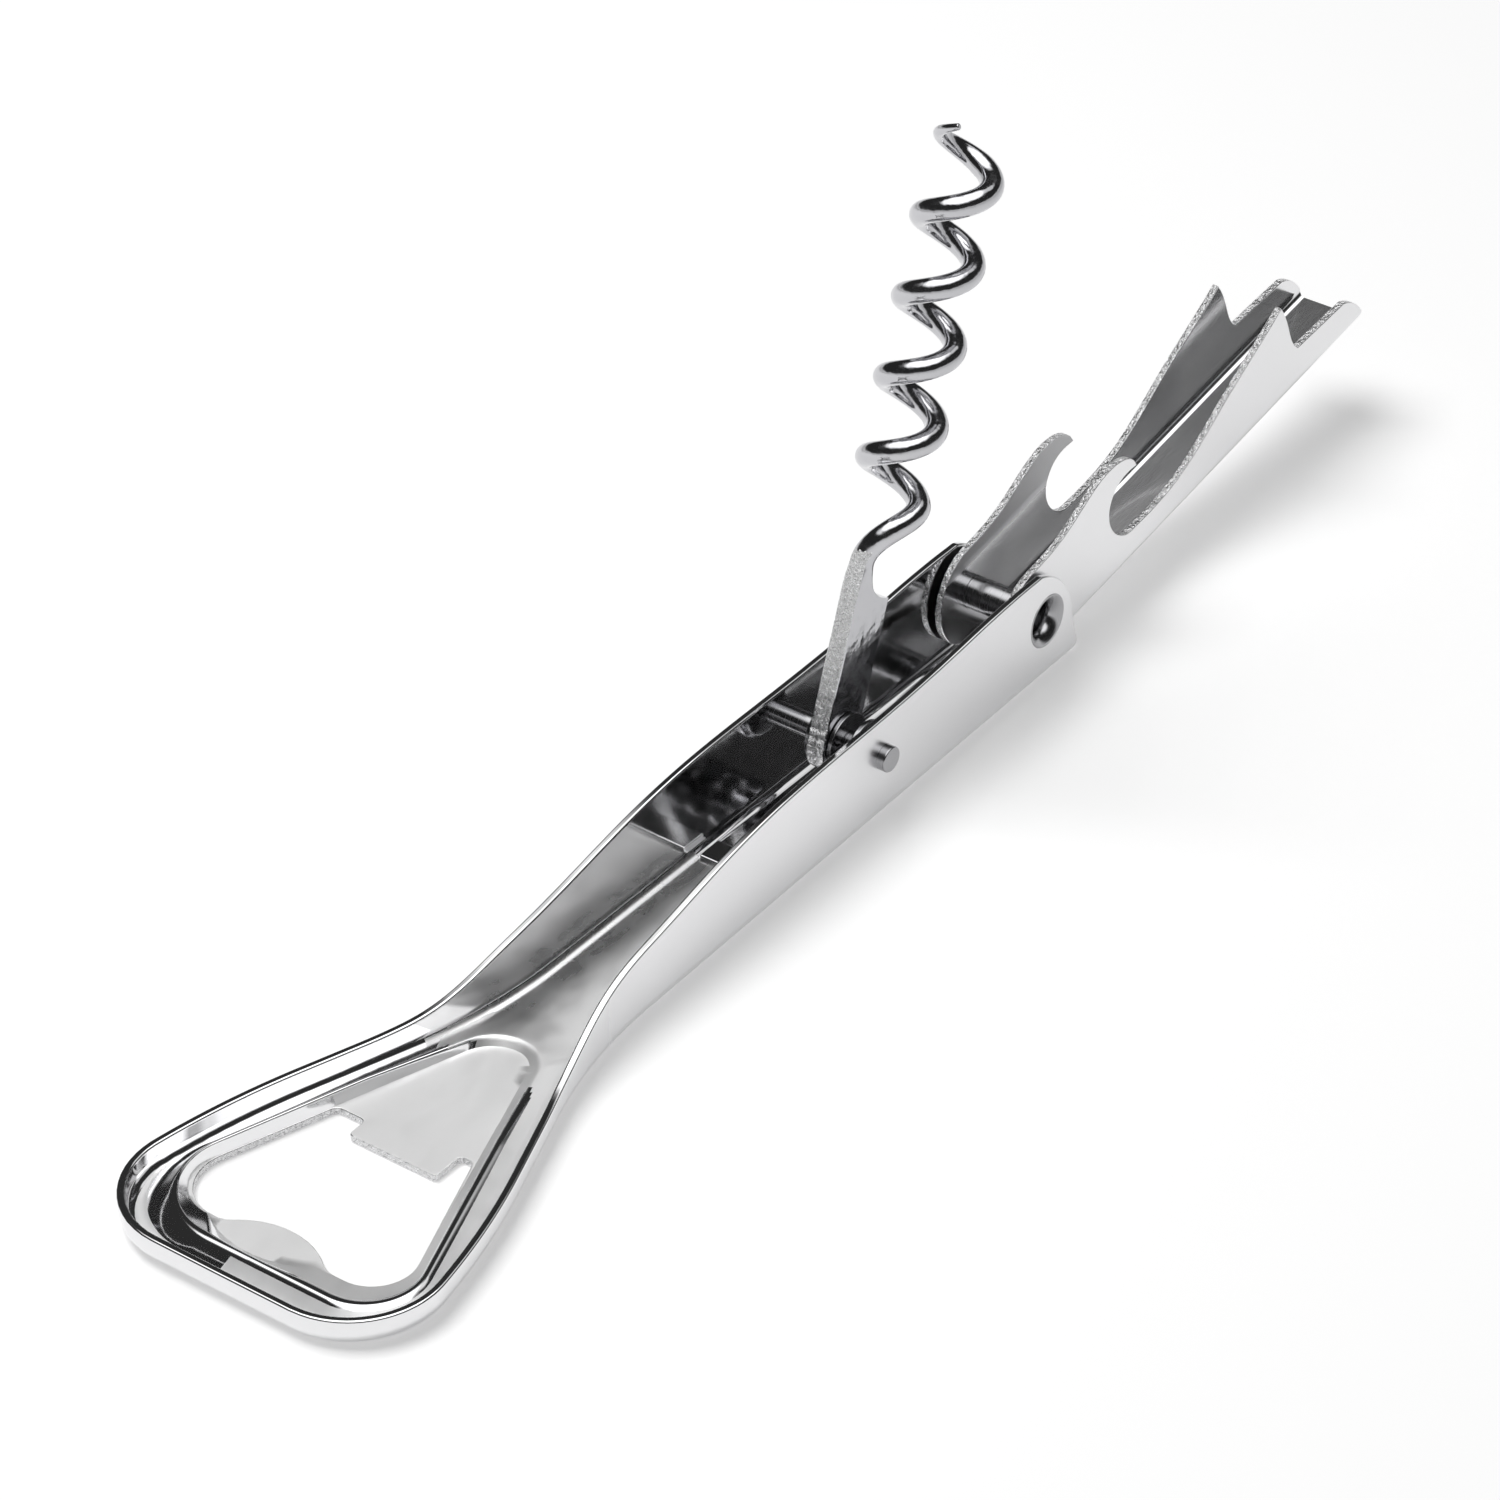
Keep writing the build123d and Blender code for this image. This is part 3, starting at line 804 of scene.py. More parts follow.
def blank_side(side):
    """One side of the sheet as three drawn sheets: wall, ridge, and the groove under the ridge."""
    plan = plan_half()
    normals = inward_normals(plan)
    tops = np.array(wall_top_curve())
    foot, crest, inner_crest, mouth = ridge_outlines(side)
    relief_foot, relief_top, relief_inner, relief_end = relief_outlines(side)
    pads, low_pads = drawn_in(mouth, 1.0), drawn_in(relief_end, 0.5)

    def wall_top(x):
        """Height of the wall at x, and how much its slope stretches the rounding of the rim."""
        here, ahead = np.interp((x, x + 0.05), tops[:, 0], tops[:, 1])
        return float(here), math.hypot(1, (ahead - here) / 0.05)

    stations = []
    for spot in foot:
        k = min(range(len(plan)), key=lambda n: (plan[n] - spot.to_2d()).length_squared)
        stations.append((plan[k], normals[k], (spot.to_2d() - plan[k]).dot(normals[k])))
    first = next(k for k, station in enumerate(stations) if station[2] < BACK_BEND)
    ahead_x = stations[first][0].x + 0.5
    channel = [k for k in range(len(plan)) if plan[k].x > ahead_x and (k % 6 == 0 or plan[k].x > 24)]

    walls = [wall_section(plan[k], normals[k], 0.0, *wall_top(plan[k].x)) for k in channel]
    ridge, under = [], []
    for k, (point, inward, gap) in enumerate(stations):
        base, low_base = foot[k], relief_foot[k]
        gutter, low = base, low_base
        if k >= first:
            meet = bend_angle(gap, foot[k], crest[k]) if k > first else 0.0
            section = wall_section(point, inward, meet, *wall_top(point.x))
            walls.append(section)
            gutter, low = section[0], section[-1]
            if gap < BACK_BEND:
                base = gutter
            depth = (low_base.to_2d() - point).dot(inward)
            if depth < BACK_BEND + 0.1:
                low_base = low_base + inward.to_3d() * (BACK_BEND + 0.1 - depth)
        slope = softened([mouth[k], inner_crest[k], crest[k], base], 0.45, 5)
        ridge.append([pads[k]] + slope + [gutter])
        groove = softened([low_pads[k], relief_end[k], relief_inner[k], relief_top[k], low_base], 0.3, 4)
        under.append(groove + [low])

    for row in (walls[-1], ridge[0], ridge[-1], under[0], under[-1]):
        for spot in row:
            spot.y = 0.0
    sheets = []
    for name, rows in (("handle_wall", walls), ("handle_ridge", ridge), ("handle_groove", under)):
        placed = [[Vector((spot.x, side * spot.y, spot.z)) for spot in row] for row in rows]
        sheets.append(drawn_sheet(name, placed))
    return sheets


def handle_blank():
    """The stamped sheet before it is pierced: channel walls, floor, loop and ridge."""
    only(*blank_side(FAR), *blank_side(NEAR))
    bpy.ops.object.join()
    blank = bpy.context.object
    tidy(blank)
    close_flats(blank)
    tidy(blank)
    return blank


def close_flats(blank):
    """Closes the flat faces: floor, back, the pads inside the ridge and the channel's open end."""
    shape = bmesh.new()
    shape.from_mesh(blank.data)
    for level in (SHEET, 0.0):
        at_level = [v for v in shape.verts if v.is_boundary and abs(v.co.z - level) < 0.01]
        outermost = sorted((v for v in at_level if v.co.x > BLANK_END - 0.05), key=lambda v: v.co.y)
        shape.edges.new((outermost[0], outermost[-1]))
        rims = [e for e in shape.edges if len(e.link_faces) < 2 and all(v in at_level for v in e.verts)]
        bmesh.ops.edgeloop_fill(shape, edges=rims)
    open_edges = [e for e in shape.edges if len(e.link_faces) < 2]
    bmesh.ops.edgeloop_fill(shape, edges=open_edges)
    shape.to_mesh(blank.data)
    shape.free()


def opening_outline():
    """Outline of the cap opening: tooth at the back, notches beside the tongue in front."""
    tooth_radius, toe_radius = 8.25, 2.5
    tooth_x, tooth_y = -86.75, 0.5
    toe_x = OPENING_BASE_X + toe_radius
    reach = tooth_radius + toe_radius
    lift = math.degrees(math.acos((toe_x - tooth_x) / reach))
    toe_gap = reach * math.sin(math.radians(lift))
    tooth = arc((toe_x, tooth_y - toe_gap), toe_radius, 180, 180 - lift, 5)
    tooth += arc((tooth_x, tooth_y), tooth_radius, -lift, lift, 18)[1:-1]
    tooth += arc((toe_x, tooth_y + toe_gap), toe_radius, 180 + lift, 180, 5)

    def side_y(x, apex_x):
        return OPENING_SLOPE * (apex_x - x)

    def base_corner(apex_x, radius):
        """Centre of the rounding where a side meets the base, taken on the far side."""
        x = OPENING_BASE_X + radius
        return x, side_y(x, apex_x) - radius * math.hypot(1, OPENING_SLOPE)

    turn = 90 - math.degrees(math.atan(OPENING_SLOPE))
    far_radius, near_radius = 4.8, 4.0
    near_x, near_y = base_corner(OPENING_NEAR_APEX, near_radius)
    far_corner = arc(base_corner(OPENING_FAR_APEX, far_radius), far_radius, 180, turn, 14)
    near_corner = arc((near_x, -near_y), near_radius, -turn, -180, 14)
    far_end, near_end = -63.4, -62.3
    front = [
        far_corner[-1], (far_end, side_y(far_end, OPENING_FAR_APEX)), (far_end, TONGUE_HALF),
        (TONGUE_FRONT, TONGUE_HALF), (TONGUE_FRONT, -TONGUE_HALF), (near_end, -TONGUE_HALF),
        (near_end, -side_y(near_end, OPENING_NEAR_APEX)), near_corner[0],
    ]
    front = softened([Vector((x, y)) for x, y in front], [0, 0.6, 0.6, 0.5, 0.5, 0.6, 0.6, 0], 6)
    return [Vector((*point, 0)) for point in tooth + far_corner + front[1:-1] + near_corner]


def lip_waste():
    """Side outline of what is cut off under the channel's end, as (x, z)."""
    chin = arc_through((32.7, 2.2), (32.3, 0.6), (31.2, 0), 8)
    return [(33.1, 4.1)] + chin + [(31.0, -1), (35, -1), (35, 4.1)]


def pierced_handle():
    """The blank with its opening, nose, pin hole, rivet hole and rib."""
    handle = handle_blank()
    handle.name = "stamped_handle"
    rib = block((RIB_X, 0, RIB_Z), RIB_SIZE)
    modify(rib, "BEVEL", width=0.2, segments=3)
    combine(handle, rib, "UNION")
    softness = bpy.context.scene.corkscrew_finish.edge_softness
    levels = eased_edge(0, 1, softness) + eased_edge(SHEET, -1, softness)[::-1]
    levels = [(-2, softness)] + levels + [(5, softness)]
    opening = lipped_block("opening_cutter", opening_outline(), levels, lambda a, b, level: (a, b, level))
    combine(handle, opening, "DIFFERENCE")
    waste = [Vector((x, -CUT_REACH, z)) for x, z in lip_waste()]
    combine(handle, prism("nose_cutter", waste, (0, 2 * CUT_REACH, 0)), "DIFFERENCE")
    combine(handle, moved(bar("pin_hole", PIN_RADIUS), location=(0, 0, PIN_Z)), "DIFFERENCE")
    near = -half_width(HINGE_X)
    rivet_hole = turned("rivet_hole", [
        (0, -CUT_REACH), (FLARE_RADIUS, -CUT_REACH), (FLARE_RADIUS, near), (RIVET_RADIUS, near + FLARE_DEPTH),
        (RIVET_RADIUS, CUT_REACH), (0, CUT_REACH)])
    combine(handle, moved(rivet_hole, location=(HINGE_X, 0, HINGE_Z)), "DIFFERENCE")
    return handle


class CORKSCREW_OT_handle(bpy.types.Operator):
    """Builds the stamped channel handle with its cap opener"""
    bl_idname = "corkscrew.handle"
    bl_label = "Handle"

    def execute(self, context):
        handle = pierced_handle()
        satin, sheared, rolled = 1, 2, 3
        give_finish(handle, rolled, outer_face)
        give_finish(handle, satin, pressed_face)
        give_finish(handle, sheared, sheared_face)
        finishes = [bright_nickel(), satin_nickel(), sheared_nickel(), rolled_nickel()]
        finish_piece(handle, finishes, "handle", "handle_plate", "handle")
        return {"FINISHED"}


def pressed_face(centre, normal):
    """The floor, the tongue and the ridge's near slopes behind the rib, which the press leaves satin."""
    if centre.x >= RIB_X - RIB_SIZE[0] / 2:
        return False
    flat = normal.z > 0.9 and centre.z < SHEET + 0.08
    slope = normal.z > 0.5 and centre.z < 1.7
    return flat or slope and (centre.y < 2 or centre.x > -52)


def outer_face(centre, normal):
    """The outside of the walls and of the loop's rim."""
    return normal.y * centre.y > 0 and abs(normal.y) > 0.3 and centre.z < WALL_TOP


def sheared_face(centre, normal):
    """The cut edge round the opening."""
    return -81.5 < centre.x < -62 and abs(normal.z) < 0.5 and -0.05 < centre.z < 0.95


# Lever


def lever_outline():
    """Side outline of the lever as (u, v): ear, claw, notch, tooth and forked end."""
    ear = arc((0, 0), EAR_RADIUS, 270, 90, 28)
    claw_back = spline(
        [(0, EAR_RADIUS), (5.3, 5.95), (9.8, 7.4), (13.2, 8.2), (17.8, 6.5)], (1, 0), (0.55, -0.83), 0.9)
    throat = spline(
        [(18.2, 5.6), (15.3, 5.6), (13.3, 3.9), (13.2, 1.2), (16.2, -1.5)], (-1, 0.15), (1, -0.1), 0.6)
    spine = spline([(16.2, -1.5), (24.9, -1.1), (34.6, 2.6), (44.4, 6.4)], (1, -0.05), (0.9, 0.42), 1.5)
    tooth = spline([(44.4, 6.4), (45.5, 3.2), (46.9, -0.45)], (0.5, -0.85), (0.75, -0.65), 1.0)
    prong = arc_through((55.6, -0.95), (57.5, -2.3), (58.8, -4.2), 6)
    return (ear[1:-1] + claw_back + throat + spine[1:] + tooth[1:] + prong
            + [(58.0, LEVER_FLOOR), (57.8, LEVER_FLOOR - 1), (-1, LEVER_FLOOR - 1)])


def bent_lever():
    """The lever: a channel cut to its side outline, with the web cut away between its ears."""
    inner_half = LEVER_HALF - LEVER_SHEET
    inner_floor = LEVER_FLOOR + LEVER_SHEET
    bend_y, bend_z = LEVER_HALF - LEVER_BEND, LEVER_FLOOR + LEVER_BEND
    tall = 12.0
    outside = [(LEVER_HALF, tall)] + arc((bend_y, bend_z), LEVER_BEND, 0, -90, 10)
    outside += arc((-bend_y, bend_z), LEVER_BEND, -90, -180, 10) + [(-LEVER_HALF, tall)]
    inside = [(-inner_half, tall)] + arc((-bend_y, bend_z), LEVER_BEND - LEVER_SHEET, 180, 270, 8)
    inside += arc((bend_y, bend_z), LEVER_BEND - LEVER_SHEET, 270, 360, 8) + [(inner_half, tall)]
    strip_start, strip_length = -12, 80
    section = [Vector((strip_start, y, z)) for y, z in outside + inside]
    lever = prism("stamped_lever", section, (strip_length, 0, 0))
    softness = bpy.context.scene.corkscrew_finish.edge_softness
    wall = [(y, -spread) for y, spread in eased_edge(LEVER_HALF, -1, softness)]
    wall += [(y, -spread) for y, spread in eased_edge(inner_half, 1, softness)[::-1]]
    levels = [(10, -softness)] + wall + [(-y, spread) for y, spread in wall[::-1]] + [(-10, -softness)]
    side = lipped_block("lever_side", lever_outline(), levels, lambda a, b, level: (a, level, b))
    combine(lever, side, "INTERSECT")
    combine(lever, block((WEB_START - 10, 0, 0), (20, 2 * inner_half, 30)), "DIFFERENCE")
    combine(lever, bar("lever_hole", RIVET_RADIUS + FIT_GAP), "DIFFERENCE")
    return lever


def cut_edge(centre, normal):
    """The cut edges of the lever's two walls, in its own frame."""
    in_wall = LEVER_HALF - 0.8 < abs(centre.y) < LEVER_HALF
    return in_wall and abs(normal.y) < 0.6 and centre.z > LEVER_FLOOR + 2


def inner_face(centre, normal):
    """The inside of the lever's channel, in its own frame."""
    return normal.y * centre.y < 0 or normal.z > 0.3 and centre.z < LEVER_FLOOR + 2


class CORKSCREW_OT_lever(bpy.types.Operator):
    """Builds the stamped lever with its claw and forked end"""
    bl_idname = "corkscrew.lever"
    bl_label = "Lever"

    def execute(self, context):
        lever = bent_lever()
        sheared, inside = 1, 2
        give_finish(lever, inside, inner_face)
        give_finish(lever, sheared, cut_edge)
        moved(lever, rotation=(0, -LEVER_LIFT, 0), location=(HINGE_X, 0, HINGE_Z))
        finishes = [rolled_nickel(), sheared_nickel(), claw_nickel()]
        finish_piece(lever, finishes, "lever", "lever_plate", "lever")
        return {"FINISHED"}


# Worm


def section_ring(centre, across, through, half_across, half_through, corner):
    """A rounded rectangle, or a circle where its sizes are all equal, as a ring of points."""
    ring = []
    for quarter in range(4):
        side_a = 1 if quarter in (0, 3) else -1
        side_b = 1 if quarter in (0, 1) else -1
        for n in range(8):
            angle = math.radians(90 * quarter + 90 * n / 7)
            a = side_a * (half_across - corner) + corner * math.cos(angle)
            b = side_b * (half_through - corner) + corner * math.sin(angle)
            ring.append(centre + across * a + through * b)
    return ring + [ring[0].copy()]


def shank_rings():
    """Rings up the flat shank, from its round heel to the neck."""
    middle = (SHANK_LEFT + SHANK_RIGHT) / 2
    half = (SHANK_RIGHT - SHANK_LEFT) / 2
    heel_rise = 2.4
    heel_radius = (half ** 2 + heel_rise ** 2) / (2 * heel_rise)
    heel_z = SHANK_HEEL + heel_radius
    pairs = []
    start = math.asin((heel_z - (SHANK_HEEL + heel_rise)) / heel_radius)
    for n in range(13):
        angle = math.pi / 2 - 0.1 + (start - math.pi / 2 + 0.1) * n / 12
        z = heel_z - heel_radius * math.sin(angle)
        reach = heel_radius * math.cos(angle)
        pairs.append(((middle - reach, z), (middle + reach, z)))
    low = SHANK_HEEL + heel_rise
    for n in range(1, 61):
        z = low + (SHANK_TOP - low) * (n / 60)
        pairs.append(((SHANK_LEFT, z), (SHANK_RIGHT, z)))
    right = spline(
        [(SHANK_RIGHT, SHANK_TOP), (-0.5, 15.0), (NECK_X + WIRE_RADIUS, NECK_Z)], (-1, 0.15), (0, 1), 0.25)
    for n, (x, z) in enumerate(right[1:], 1):
        share = n / (len(right) - 1)
        left_x = SHANK_LEFT + (NECK_X - WIRE_RADIUS - SHANK_LEFT) * share
        pairs.append(((left_x, SHANK_TOP + (NECK_Z - SHANK_TOP) * share), (x, z)))
    rings = []
    shank_corner = groove_radius = 0.3
    groove_rise = 0.15  # how far outside the shank a groove's centre lies
    grooves = [SHANK_HEEL + 1.7 + 0.9 * n for n in range(4)]
    for (left_x, left_z), (right_x, right_z) in pairs:
        for groove in grooves:
            reach = math.sqrt(max(0.0, groove_radius ** 2 - (left_z - groove) ** 2))
            left_x += max(0.0, reach - groove_rise)
        left, right = Vector((left_x, 0, left_z)), Vector((right_x, 0, right_z))
        width = (right - left).length / 2
        share = min(1.0, max(0.0, (left_z - SHANK_TOP) / (NECK_Z - SHANK_TOP)))
        thick = SHANK_HALF_THICK + (WIRE_RADIUS - SHANK_HALF_THICK) * share
        corner = min(width, thick, shank_corner + (WIRE_RADIUS - shank_corner) * share ** 2)
        across = (right - left).normalized()
        rings.append(section_ring((left + right) / 2, across, Vector((0, 1, 0)), width, thick, corner))
    return rings


def wire_path():
    """The wire's middle line from the neck round the coil to the point, with its radius."""
    def coil_point(z):
        angle = COIL_START_ANGLE + math.tau * (z - COIL_START_Z) / COIL_PITCH
        return (COIL_RADIUS * math.cos(angle), COIL_RADIUS * math.sin(angle), z)

    start = Vector(coil_point(COIL_START_Z))
    heading = Vector(coil_point(COIL_START_Z + 0.01)) - start
    neck = spline([(NECK_X, 0, NECK_Z), (-1.75, -1.3, 20.6), tuple(start)], (0, 0, 1), tuple(heading), 0.25)
    path = [(Vector(point), WIRE_RADIUS) for point in neck]
    rise = TIP_END_Z - COIL_START_Z
    steps = round(rise / COIL_PITCH * 48)
    for n in range(1, steps + 1):
        z = COIL_START_Z + rise * n / steps
        taper = max(0.0, (z - TAPER_START_Z) / (TIP_END_Z - TAPER_START_Z))
        path.append((Vector(coil_point(z)), WIRE_RADIUS + (TIP_RADIUS - WIRE_RADIUS) * taper))
    end = path[-1][0]
    heading = (end - path[-2][0]).normalized()
    for reach, share in ((0.08, 0.85), (0.13, 0.5)):
        path.append((end + heading * reach, TIP_RADIUS * share))
    return path


def wire_rings():
    """Round rings along the wire, carried on without a twist."""
    path = wire_path()
    across, through = Vector((1, 0, 0)), Vector((0, 1, 0))
    heading = Vector((0, 0, 1))
    rings = []
    for k, (point, radius) in enumerate(path):
        ahead = path[min(k + 1, len(path) - 1)][0] - path[max(k - 1, 0)][0]
        turn = heading.rotation_difference(ahead.normalized()) if k else Matrix.Identity(3).to_quaternion()
        across, through = turn @ across, turn @ through
        heading = ahead.normalized() if k else heading
        rings.append(section_ring(point, across, through, radius, radius, radius))
    return rings


def bent_worm():
    """The worm: flat shank with its eye, neck, coil and point, all one drawn sheet closed at both ends."""
    rings = shank_rings()[:-1] + wire_rings()
    worm = drawn_sheet("spiral_worm", rings)
    tidy(worm)
    close_holes(worm)
    combine(worm, bar("eye", PIN_RADIUS + FIT_GAP, 3), "DIFFERENCE")
    return worm


def shank_edge(centre, normal):
    """The cut edge of the flat shank and neck, in the worm's own frame."""
    return normal.x < -0.6 and centre.z < 19


class CORKSCREW_OT_worm(bpy.types.Operator):
    """Builds the worm with its flat shank"""
    bl_idname = "corkscrew.worm"
    bl_label = "Worm"

    def execute(self, context):
        worm = bent_worm()
        sheared = 1
        give_finish(worm, sheared, shank_edge)
        moved(worm, rotation=(0, WORM_LEAN, 0), location=(0, 0, PIN_Z))
        finish_piece(worm, [drawn_nickel(), sheared_nickel()], "worm", "worm_plate", "worm")
        return {"FINISHED"}


# Pin, rivet and washers


def flat_points(points):
    """The plane (x, y) of a run of points."""
    return [(p[0], p[1]) for p in points]


class CORKSCREW_OT_pins(bpy.types.Operator):
    """Builds the worm's pin, the hinge's rivet and the washers"""
    bl_idname = "corkscrew.pins"
    bl_label = "Pin, rivet and washers"

    def execute(self, context):
        self.pin()
        self.rivet()
        shank_face = SHANK_HALF_THICK + FIT_GAP
        self.washer("shank_washer_near", -shank_face)
        self.washer("shank_washer_far", shank_face)
        self.washer("wall_washer_near", -WALL_WASHER_Y)
        return {"FINISHED"}

    def pin(self):
        wall, far = half_width(0) + 0.01, half_width(0) + PIN_FAR_PROUD
        near, swell = -wall - PIN_PROUD, PIN_RADIUS + PIN_SWELL
        corners = [
            (0, near, 0), (swell, near, 0), (swell, -wall, 0), (PIN_RADIUS, -wall, 0), (PIN_RADIUS, far, 0),
            (0, far, 0)]
        pin = turned("pivot_pin", flat_points(softened(corners, [0, 0.2, 0.01, 0.01, 0.2, 0], 5)))
        moved(pin, location=(0, 0, PIN_Z))
        finish_piece(pin, [plain_steel()], "handle", "pin_steel", "worm_pin")

    def rivet(self):
        near = -half_width(HINGE_X)
        seat = half_width(HINGE_X - RIVET_HEAD_RADIUS)
        brim, crown = seat + RIVET_BRIM, seat + RIVET_HEAD_HEIGHT
        cup_floor = near + CUP_DEPTH
        lip = arc_through((1.5, near + 1.5), (1.85, near + 0.55), (2.5, near), 10)
        lip += [(2.6, near - 0.06), (2.7, near - 0.07), (2.78, near - 0.04)]
        head = arc_through((RIVET_HEAD_RADIUS, brim), (2.65, brim + 0.42), (1.6, crown), 6)
        profile = [(0, cup_floor + 0.5), (CUP_BORE, cup_floor)] + lip
        profile += [(FLARE_RADIUS, near), (RIVET_RADIUS, near + FLARE_DEPTH), (RIVET_RADIUS, seat)]
        profile += [(RIVET_HEAD_RADIUS, seat)] + head + [(0, crown)]
        rivet = turned("tubular_rivet", profile)
        moved(rivet, location=(HINGE_X, 0, HINGE_Z))
        finish_piece(rivet, [plain_steel()], "handle", "pin_steel", "hinge_rivet")

    def washer(self, name, start):
        end = start + math.copysign(WASHER_THICK, start)
        corners = [
            (PIN_RADIUS, start, 0), (WASHER_RADIUS, start, 0), (WASHER_RADIUS, end, 0), (PIN_RADIUS, end, 0)]
        ring = turned(name + "_ring", flat_points(softened(corners, 0.12, 3, closed=True)), closed=True)
        moved(ring, location=(0, 0, PIN_Z))
        finish_piece(ring, [plain_steel()], "handle", "pin_steel", name)


# Stage


def aim(position, target):
    """Rotation that points an object's -Z from position to target with its Y up."""
    return (target - position).to_track_quat("-Z", "Y").to_euler()


class CORKSCREW_OT_stage(bpy.types.Operator):
    """Sets up the floor, the lights and the camera"""
    bl_idname = "corkscrew.stage"
    bl_label = "Stage"

    def execute(self, context):
        studio = context.scene.corkscrew_studio
        self.camera(context, studio)
        self.floor(studio)
        self.world(context)
        self.lamps()
        context.scene.view_settings.view_transform = "Standard"
        return {"FINISHED"}

    def camera(self, context, studio):
        out = Vector((
            math.cos(studio.elevation) * math.sin(studio.azimuth),
            -math.cos(studio.elevation) * math.cos(studio.azimuth),
            math.sin(studio.elevation)))
        target = Vector(studio.target)
        bpy.ops.object.camera_add(location=target + out * studio.distance)
        camera = context.object
        camera.rotation_euler = aim(camera.location, target)
        camera.data.lens = studio.lens
        camera.data.sensor_width = 36
        camera.data.clip_start = 0.01
        context.view_layer.update()
        camera.rotation_euler.rotate_axis("Z", studio.roll)
        context.scene.camera = camera

    def floor(self, studio):
        bpy.ops.mesh.primitive_plane_add(size=4, location=(0, 0, -0.00005))
        floor = bpy.context.object
        floor.name = "floor"
        material, tree = new_material("white_table")
        # The camera and the mirrors see the floor brighter than the lamp alone makes it
        rays = add_node(tree, "ShaderNodeLightPath")
        seen = add_node(tree, "ShaderNodeMath", {"operation": "MAXIMUM"},
                        {0: rays.outputs["Is Camera Ray"], 1: rays.outputs["Is Glossy Ray"]})
        seen = add_node(tree, "ShaderNodeMath", {"operation": "MAXIMUM"},
                        {0: seen.outputs[0], 1: rays.outputs["Is Transmission Ray"]})
        lit = add_node(tree, "ShaderNodeBsdfDiffuse", Color=linear(studio.floor_colour))
        glow = add_node(tree, "ShaderNodeEmission", links={"Strength": seen.outputs[0]},
                        Color=(0.3, 0.3, 0.3, 1))
        both = add_node(tree, "ShaderNodeAddShader", links={0: lit.outputs[0], 1: glow.outputs[0]})
        add_node(tree, "ShaderNodeOutputMaterial", links={"Surface": both.outputs[0]})
        floor.data.materials.append(material)

    def world(self, context):
        """A white room, in which mirrors find dark walls between the table and the bright ceiling."""
        world = bpy.data.worlds.new("studio")
        context.scene.world = world
        world.use_nodes = True
        tree = world.node_tree
        tree.nodes.clear()
        heading = add_node(tree, "ShaderNodeTexCoord")
        parts = add_node(tree, "ShaderNodeSeparateXYZ", links={0: heading.outputs["Generated"]})
        facing = add_node(tree, "ShaderNodeVectorMath", {"operation": "DOT_PRODUCT"},
                          {0: heading.outputs["Generated"]})
        facing.inputs[1].default_value = (0.62, -0.15, 0.77)
        smooth, larger = {"interpolation_type": "SMOOTHSTEP"}, {"operation": "MAXIMUM"}
        ceiling = add_node(tree, "ShaderNodeMapRange", smooth, {"Value": parts.outputs["Z"]},
                           From_Min=0.72, From_Max=0.88)
        skyline = add_node(tree, "ShaderNodeMapRange", smooth, {"Value": parts.outputs["Z"]},
                           From_Min=0.03, From_Max=0.16, To_Min=0.35, To_Max=0.0)
        panel = add_node(tree, "ShaderNodeMapRange", smooth, {"Value": facing.outputs["Value"]},
                         From_Min=0.962, From_Max=0.985, To_Max=0.4)
        bright = add_node(tree, "ShaderNodeMath", larger, {0: ceiling.outputs[0], 1: skyline.outputs[0]})
        bright = add_node(tree, "ShaderNodeMath", larger, {0: bright.outputs[0], 1: panel.outputs[0]})
        mirrored = add_node(tree, "ShaderNodeMapRange", links={"Value": bright.outputs[0]},
                            To_Min=0.03, To_Max=2.2)
        rays = add_node(tree, "ShaderNodeLightPath")
        seen = add_node(tree, "ShaderNodeMath", larger,
                        {0: rays.outputs["Is Camera Ray"], 1: rays.outputs["Is Transmission Ray"]})
        plain = add_node(tree, "ShaderNodeMapRange", links={"Value": seen.outputs[0]},
                         To_Min=0.22, To_Max=1.0)
        strength = add_node(tree, "ShaderNodeMix", {"data_type": "FLOAT"},
                            {0: rays.outputs["Is Glossy Ray"], 2: plain.outputs[0], 3: mirrored.outputs[0]})
        sky = add_node(tree, "ShaderNodeBackground", links={"Strength": strength.outputs[0]},
                       Color=(1, 1, 1, 1))
        add_node(tree, "ShaderNodeOutputWorld", links={"Surface": sky.outputs[0]})

    def lamps(self):
        """One broad soft lamp, nearly overhead and a little behind."""
        bpy.ops.object.light_add(type="AREA", location=(-0.12, 0.22, 0.65))
        lamp = bpy.context.object
        lamp.name = "key_light"
        lamp.rotation_euler = aim(lamp.location, Vector((0, 0, 0)))
        lamp.data.size = 0.42
        lamp.data.energy = 3.4
        lamp.visible_glossy = False


class CORKSCREW_PT_pieces(bpy.types.Panel):
    """Lists the pieces, the stage and their settings"""
    bl_idname = "CORKSCREW_PT_pieces"
    bl_label = "Corkscrew"
    bl_space_type = "VIEW_3D"
    bl_region_type = "UI"
    bl_category = "Corkscrew"

    def draw(self, context):
        for piece in (CORKSCREW_OT_handle, CORKSCREW_OT_lever, CORKSCREW_OT_worm, CORKSCREW_OT_pins,
                      CORKSCREW_OT_stage):
            self.layout.operator(piece.bl_idname)
        for settings in (context.scene.corkscrew_finish, context.scene.corkscrew_studio):
            box = self.layout.box()
            for name in type(settings).__annotations__:
                box.prop(settings, name)


CLASSES = (
    CorkscrewFinish,
    CorkscrewStudio,
    CORKSCREW_OT_handle,
    CORKSCREW_OT_lever,
    CORKSCREW_OT_worm,
    CORKSCREW_OT_pins,
    CORKSCREW_OT_stage,
    CORKSCREW_PT_pieces,
)


def register():
    for cls in CLASSES:
        bpy.utils.register_class(cls)
    bpy.types.Scene.corkscrew_finish = bpy.props.PointerProperty(type=CorkscrewFinish)
    bpy.types.Scene.corkscrew_studio = bpy.props.PointerProperty(type=CorkscrewStudio)


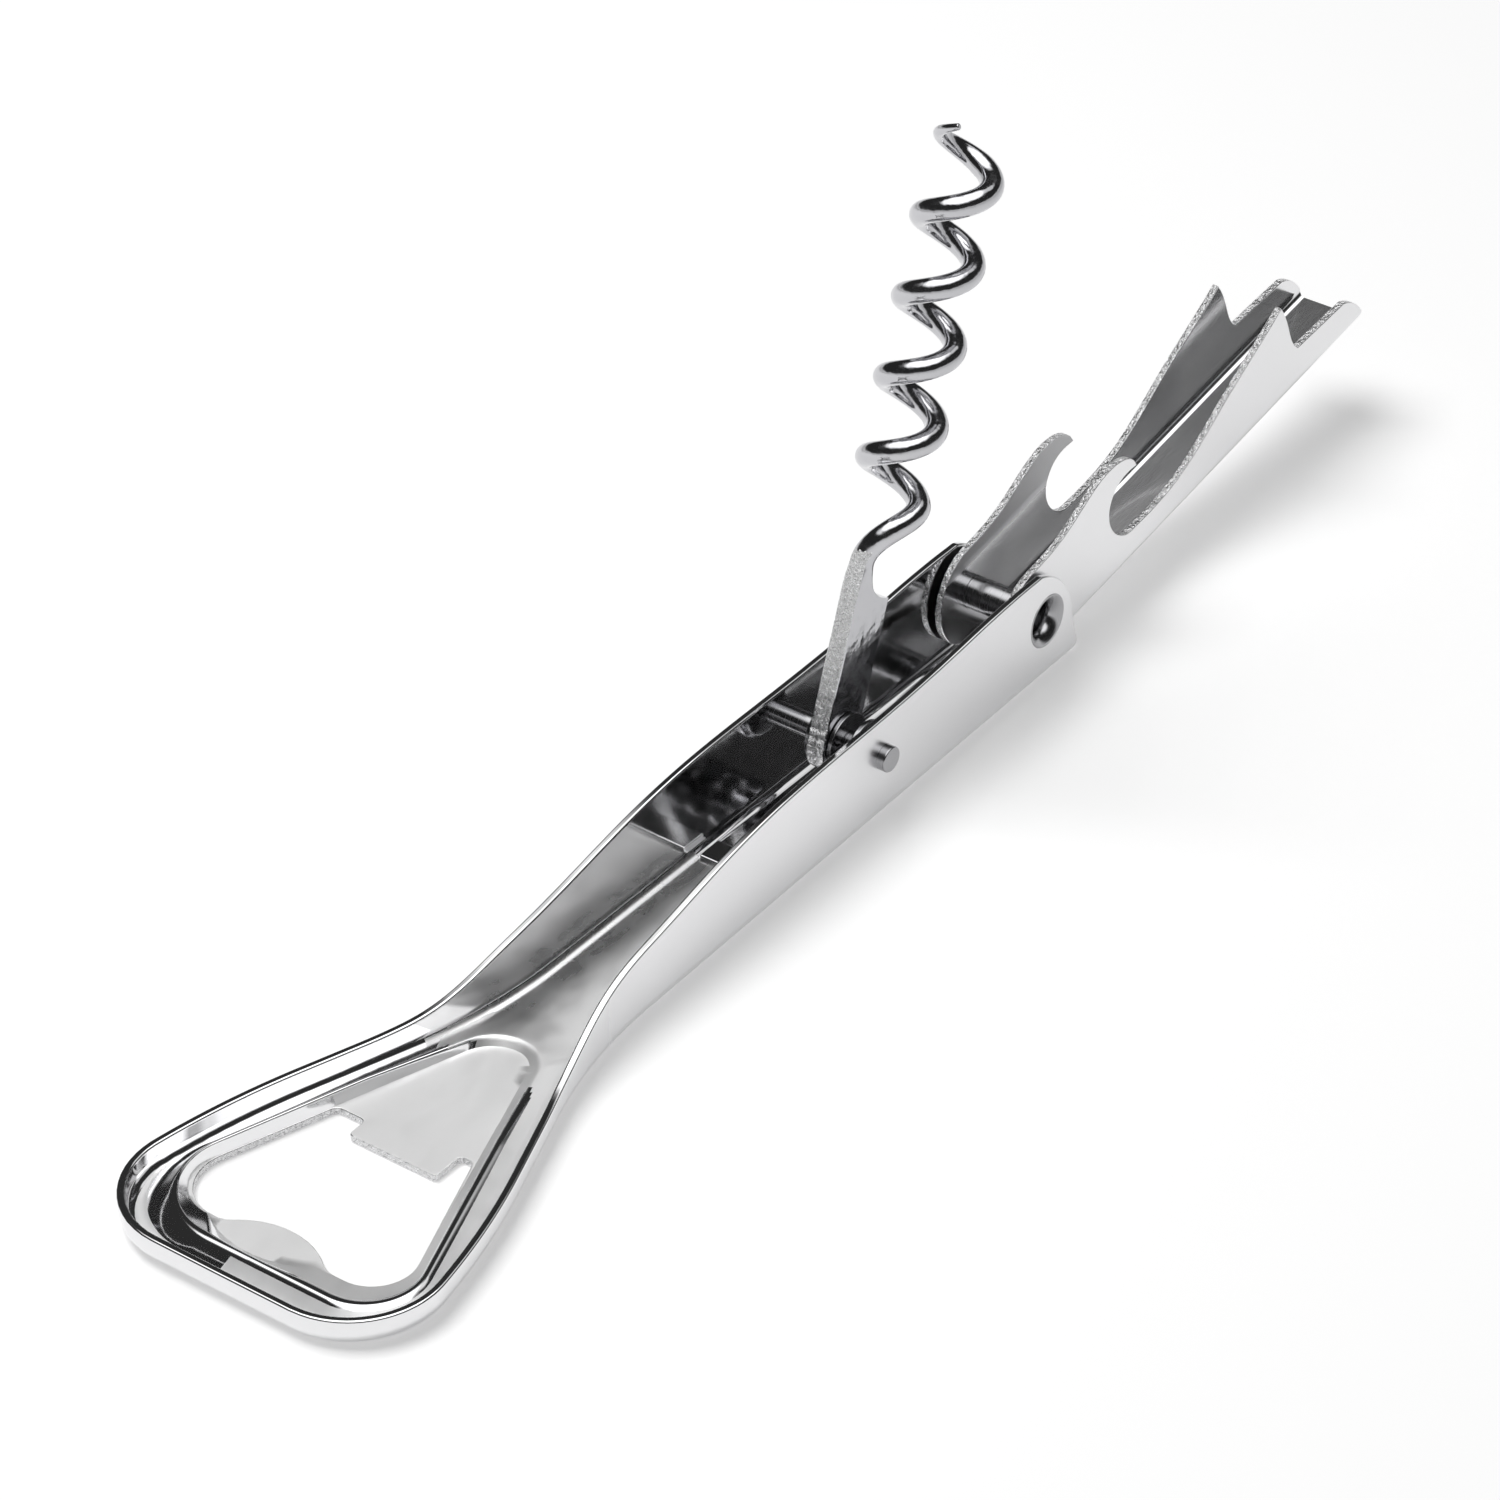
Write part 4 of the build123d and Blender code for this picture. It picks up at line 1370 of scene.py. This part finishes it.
def unregister():
    del bpy.types.Scene.corkscrew_studio
    del bpy.types.Scene.corkscrew_finish
    for cls in reversed(CLASSES):
        bpy.utils.unregister_class(cls)


def main():
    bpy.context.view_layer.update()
    register()
    bpy.ops.corkscrew.handle()
    bpy.ops.corkscrew.lever()
    bpy.ops.corkscrew.worm()
    bpy.ops.corkscrew.pins()
    bpy.ops.corkscrew.stage()


if __name__ == "__main__":
    main()
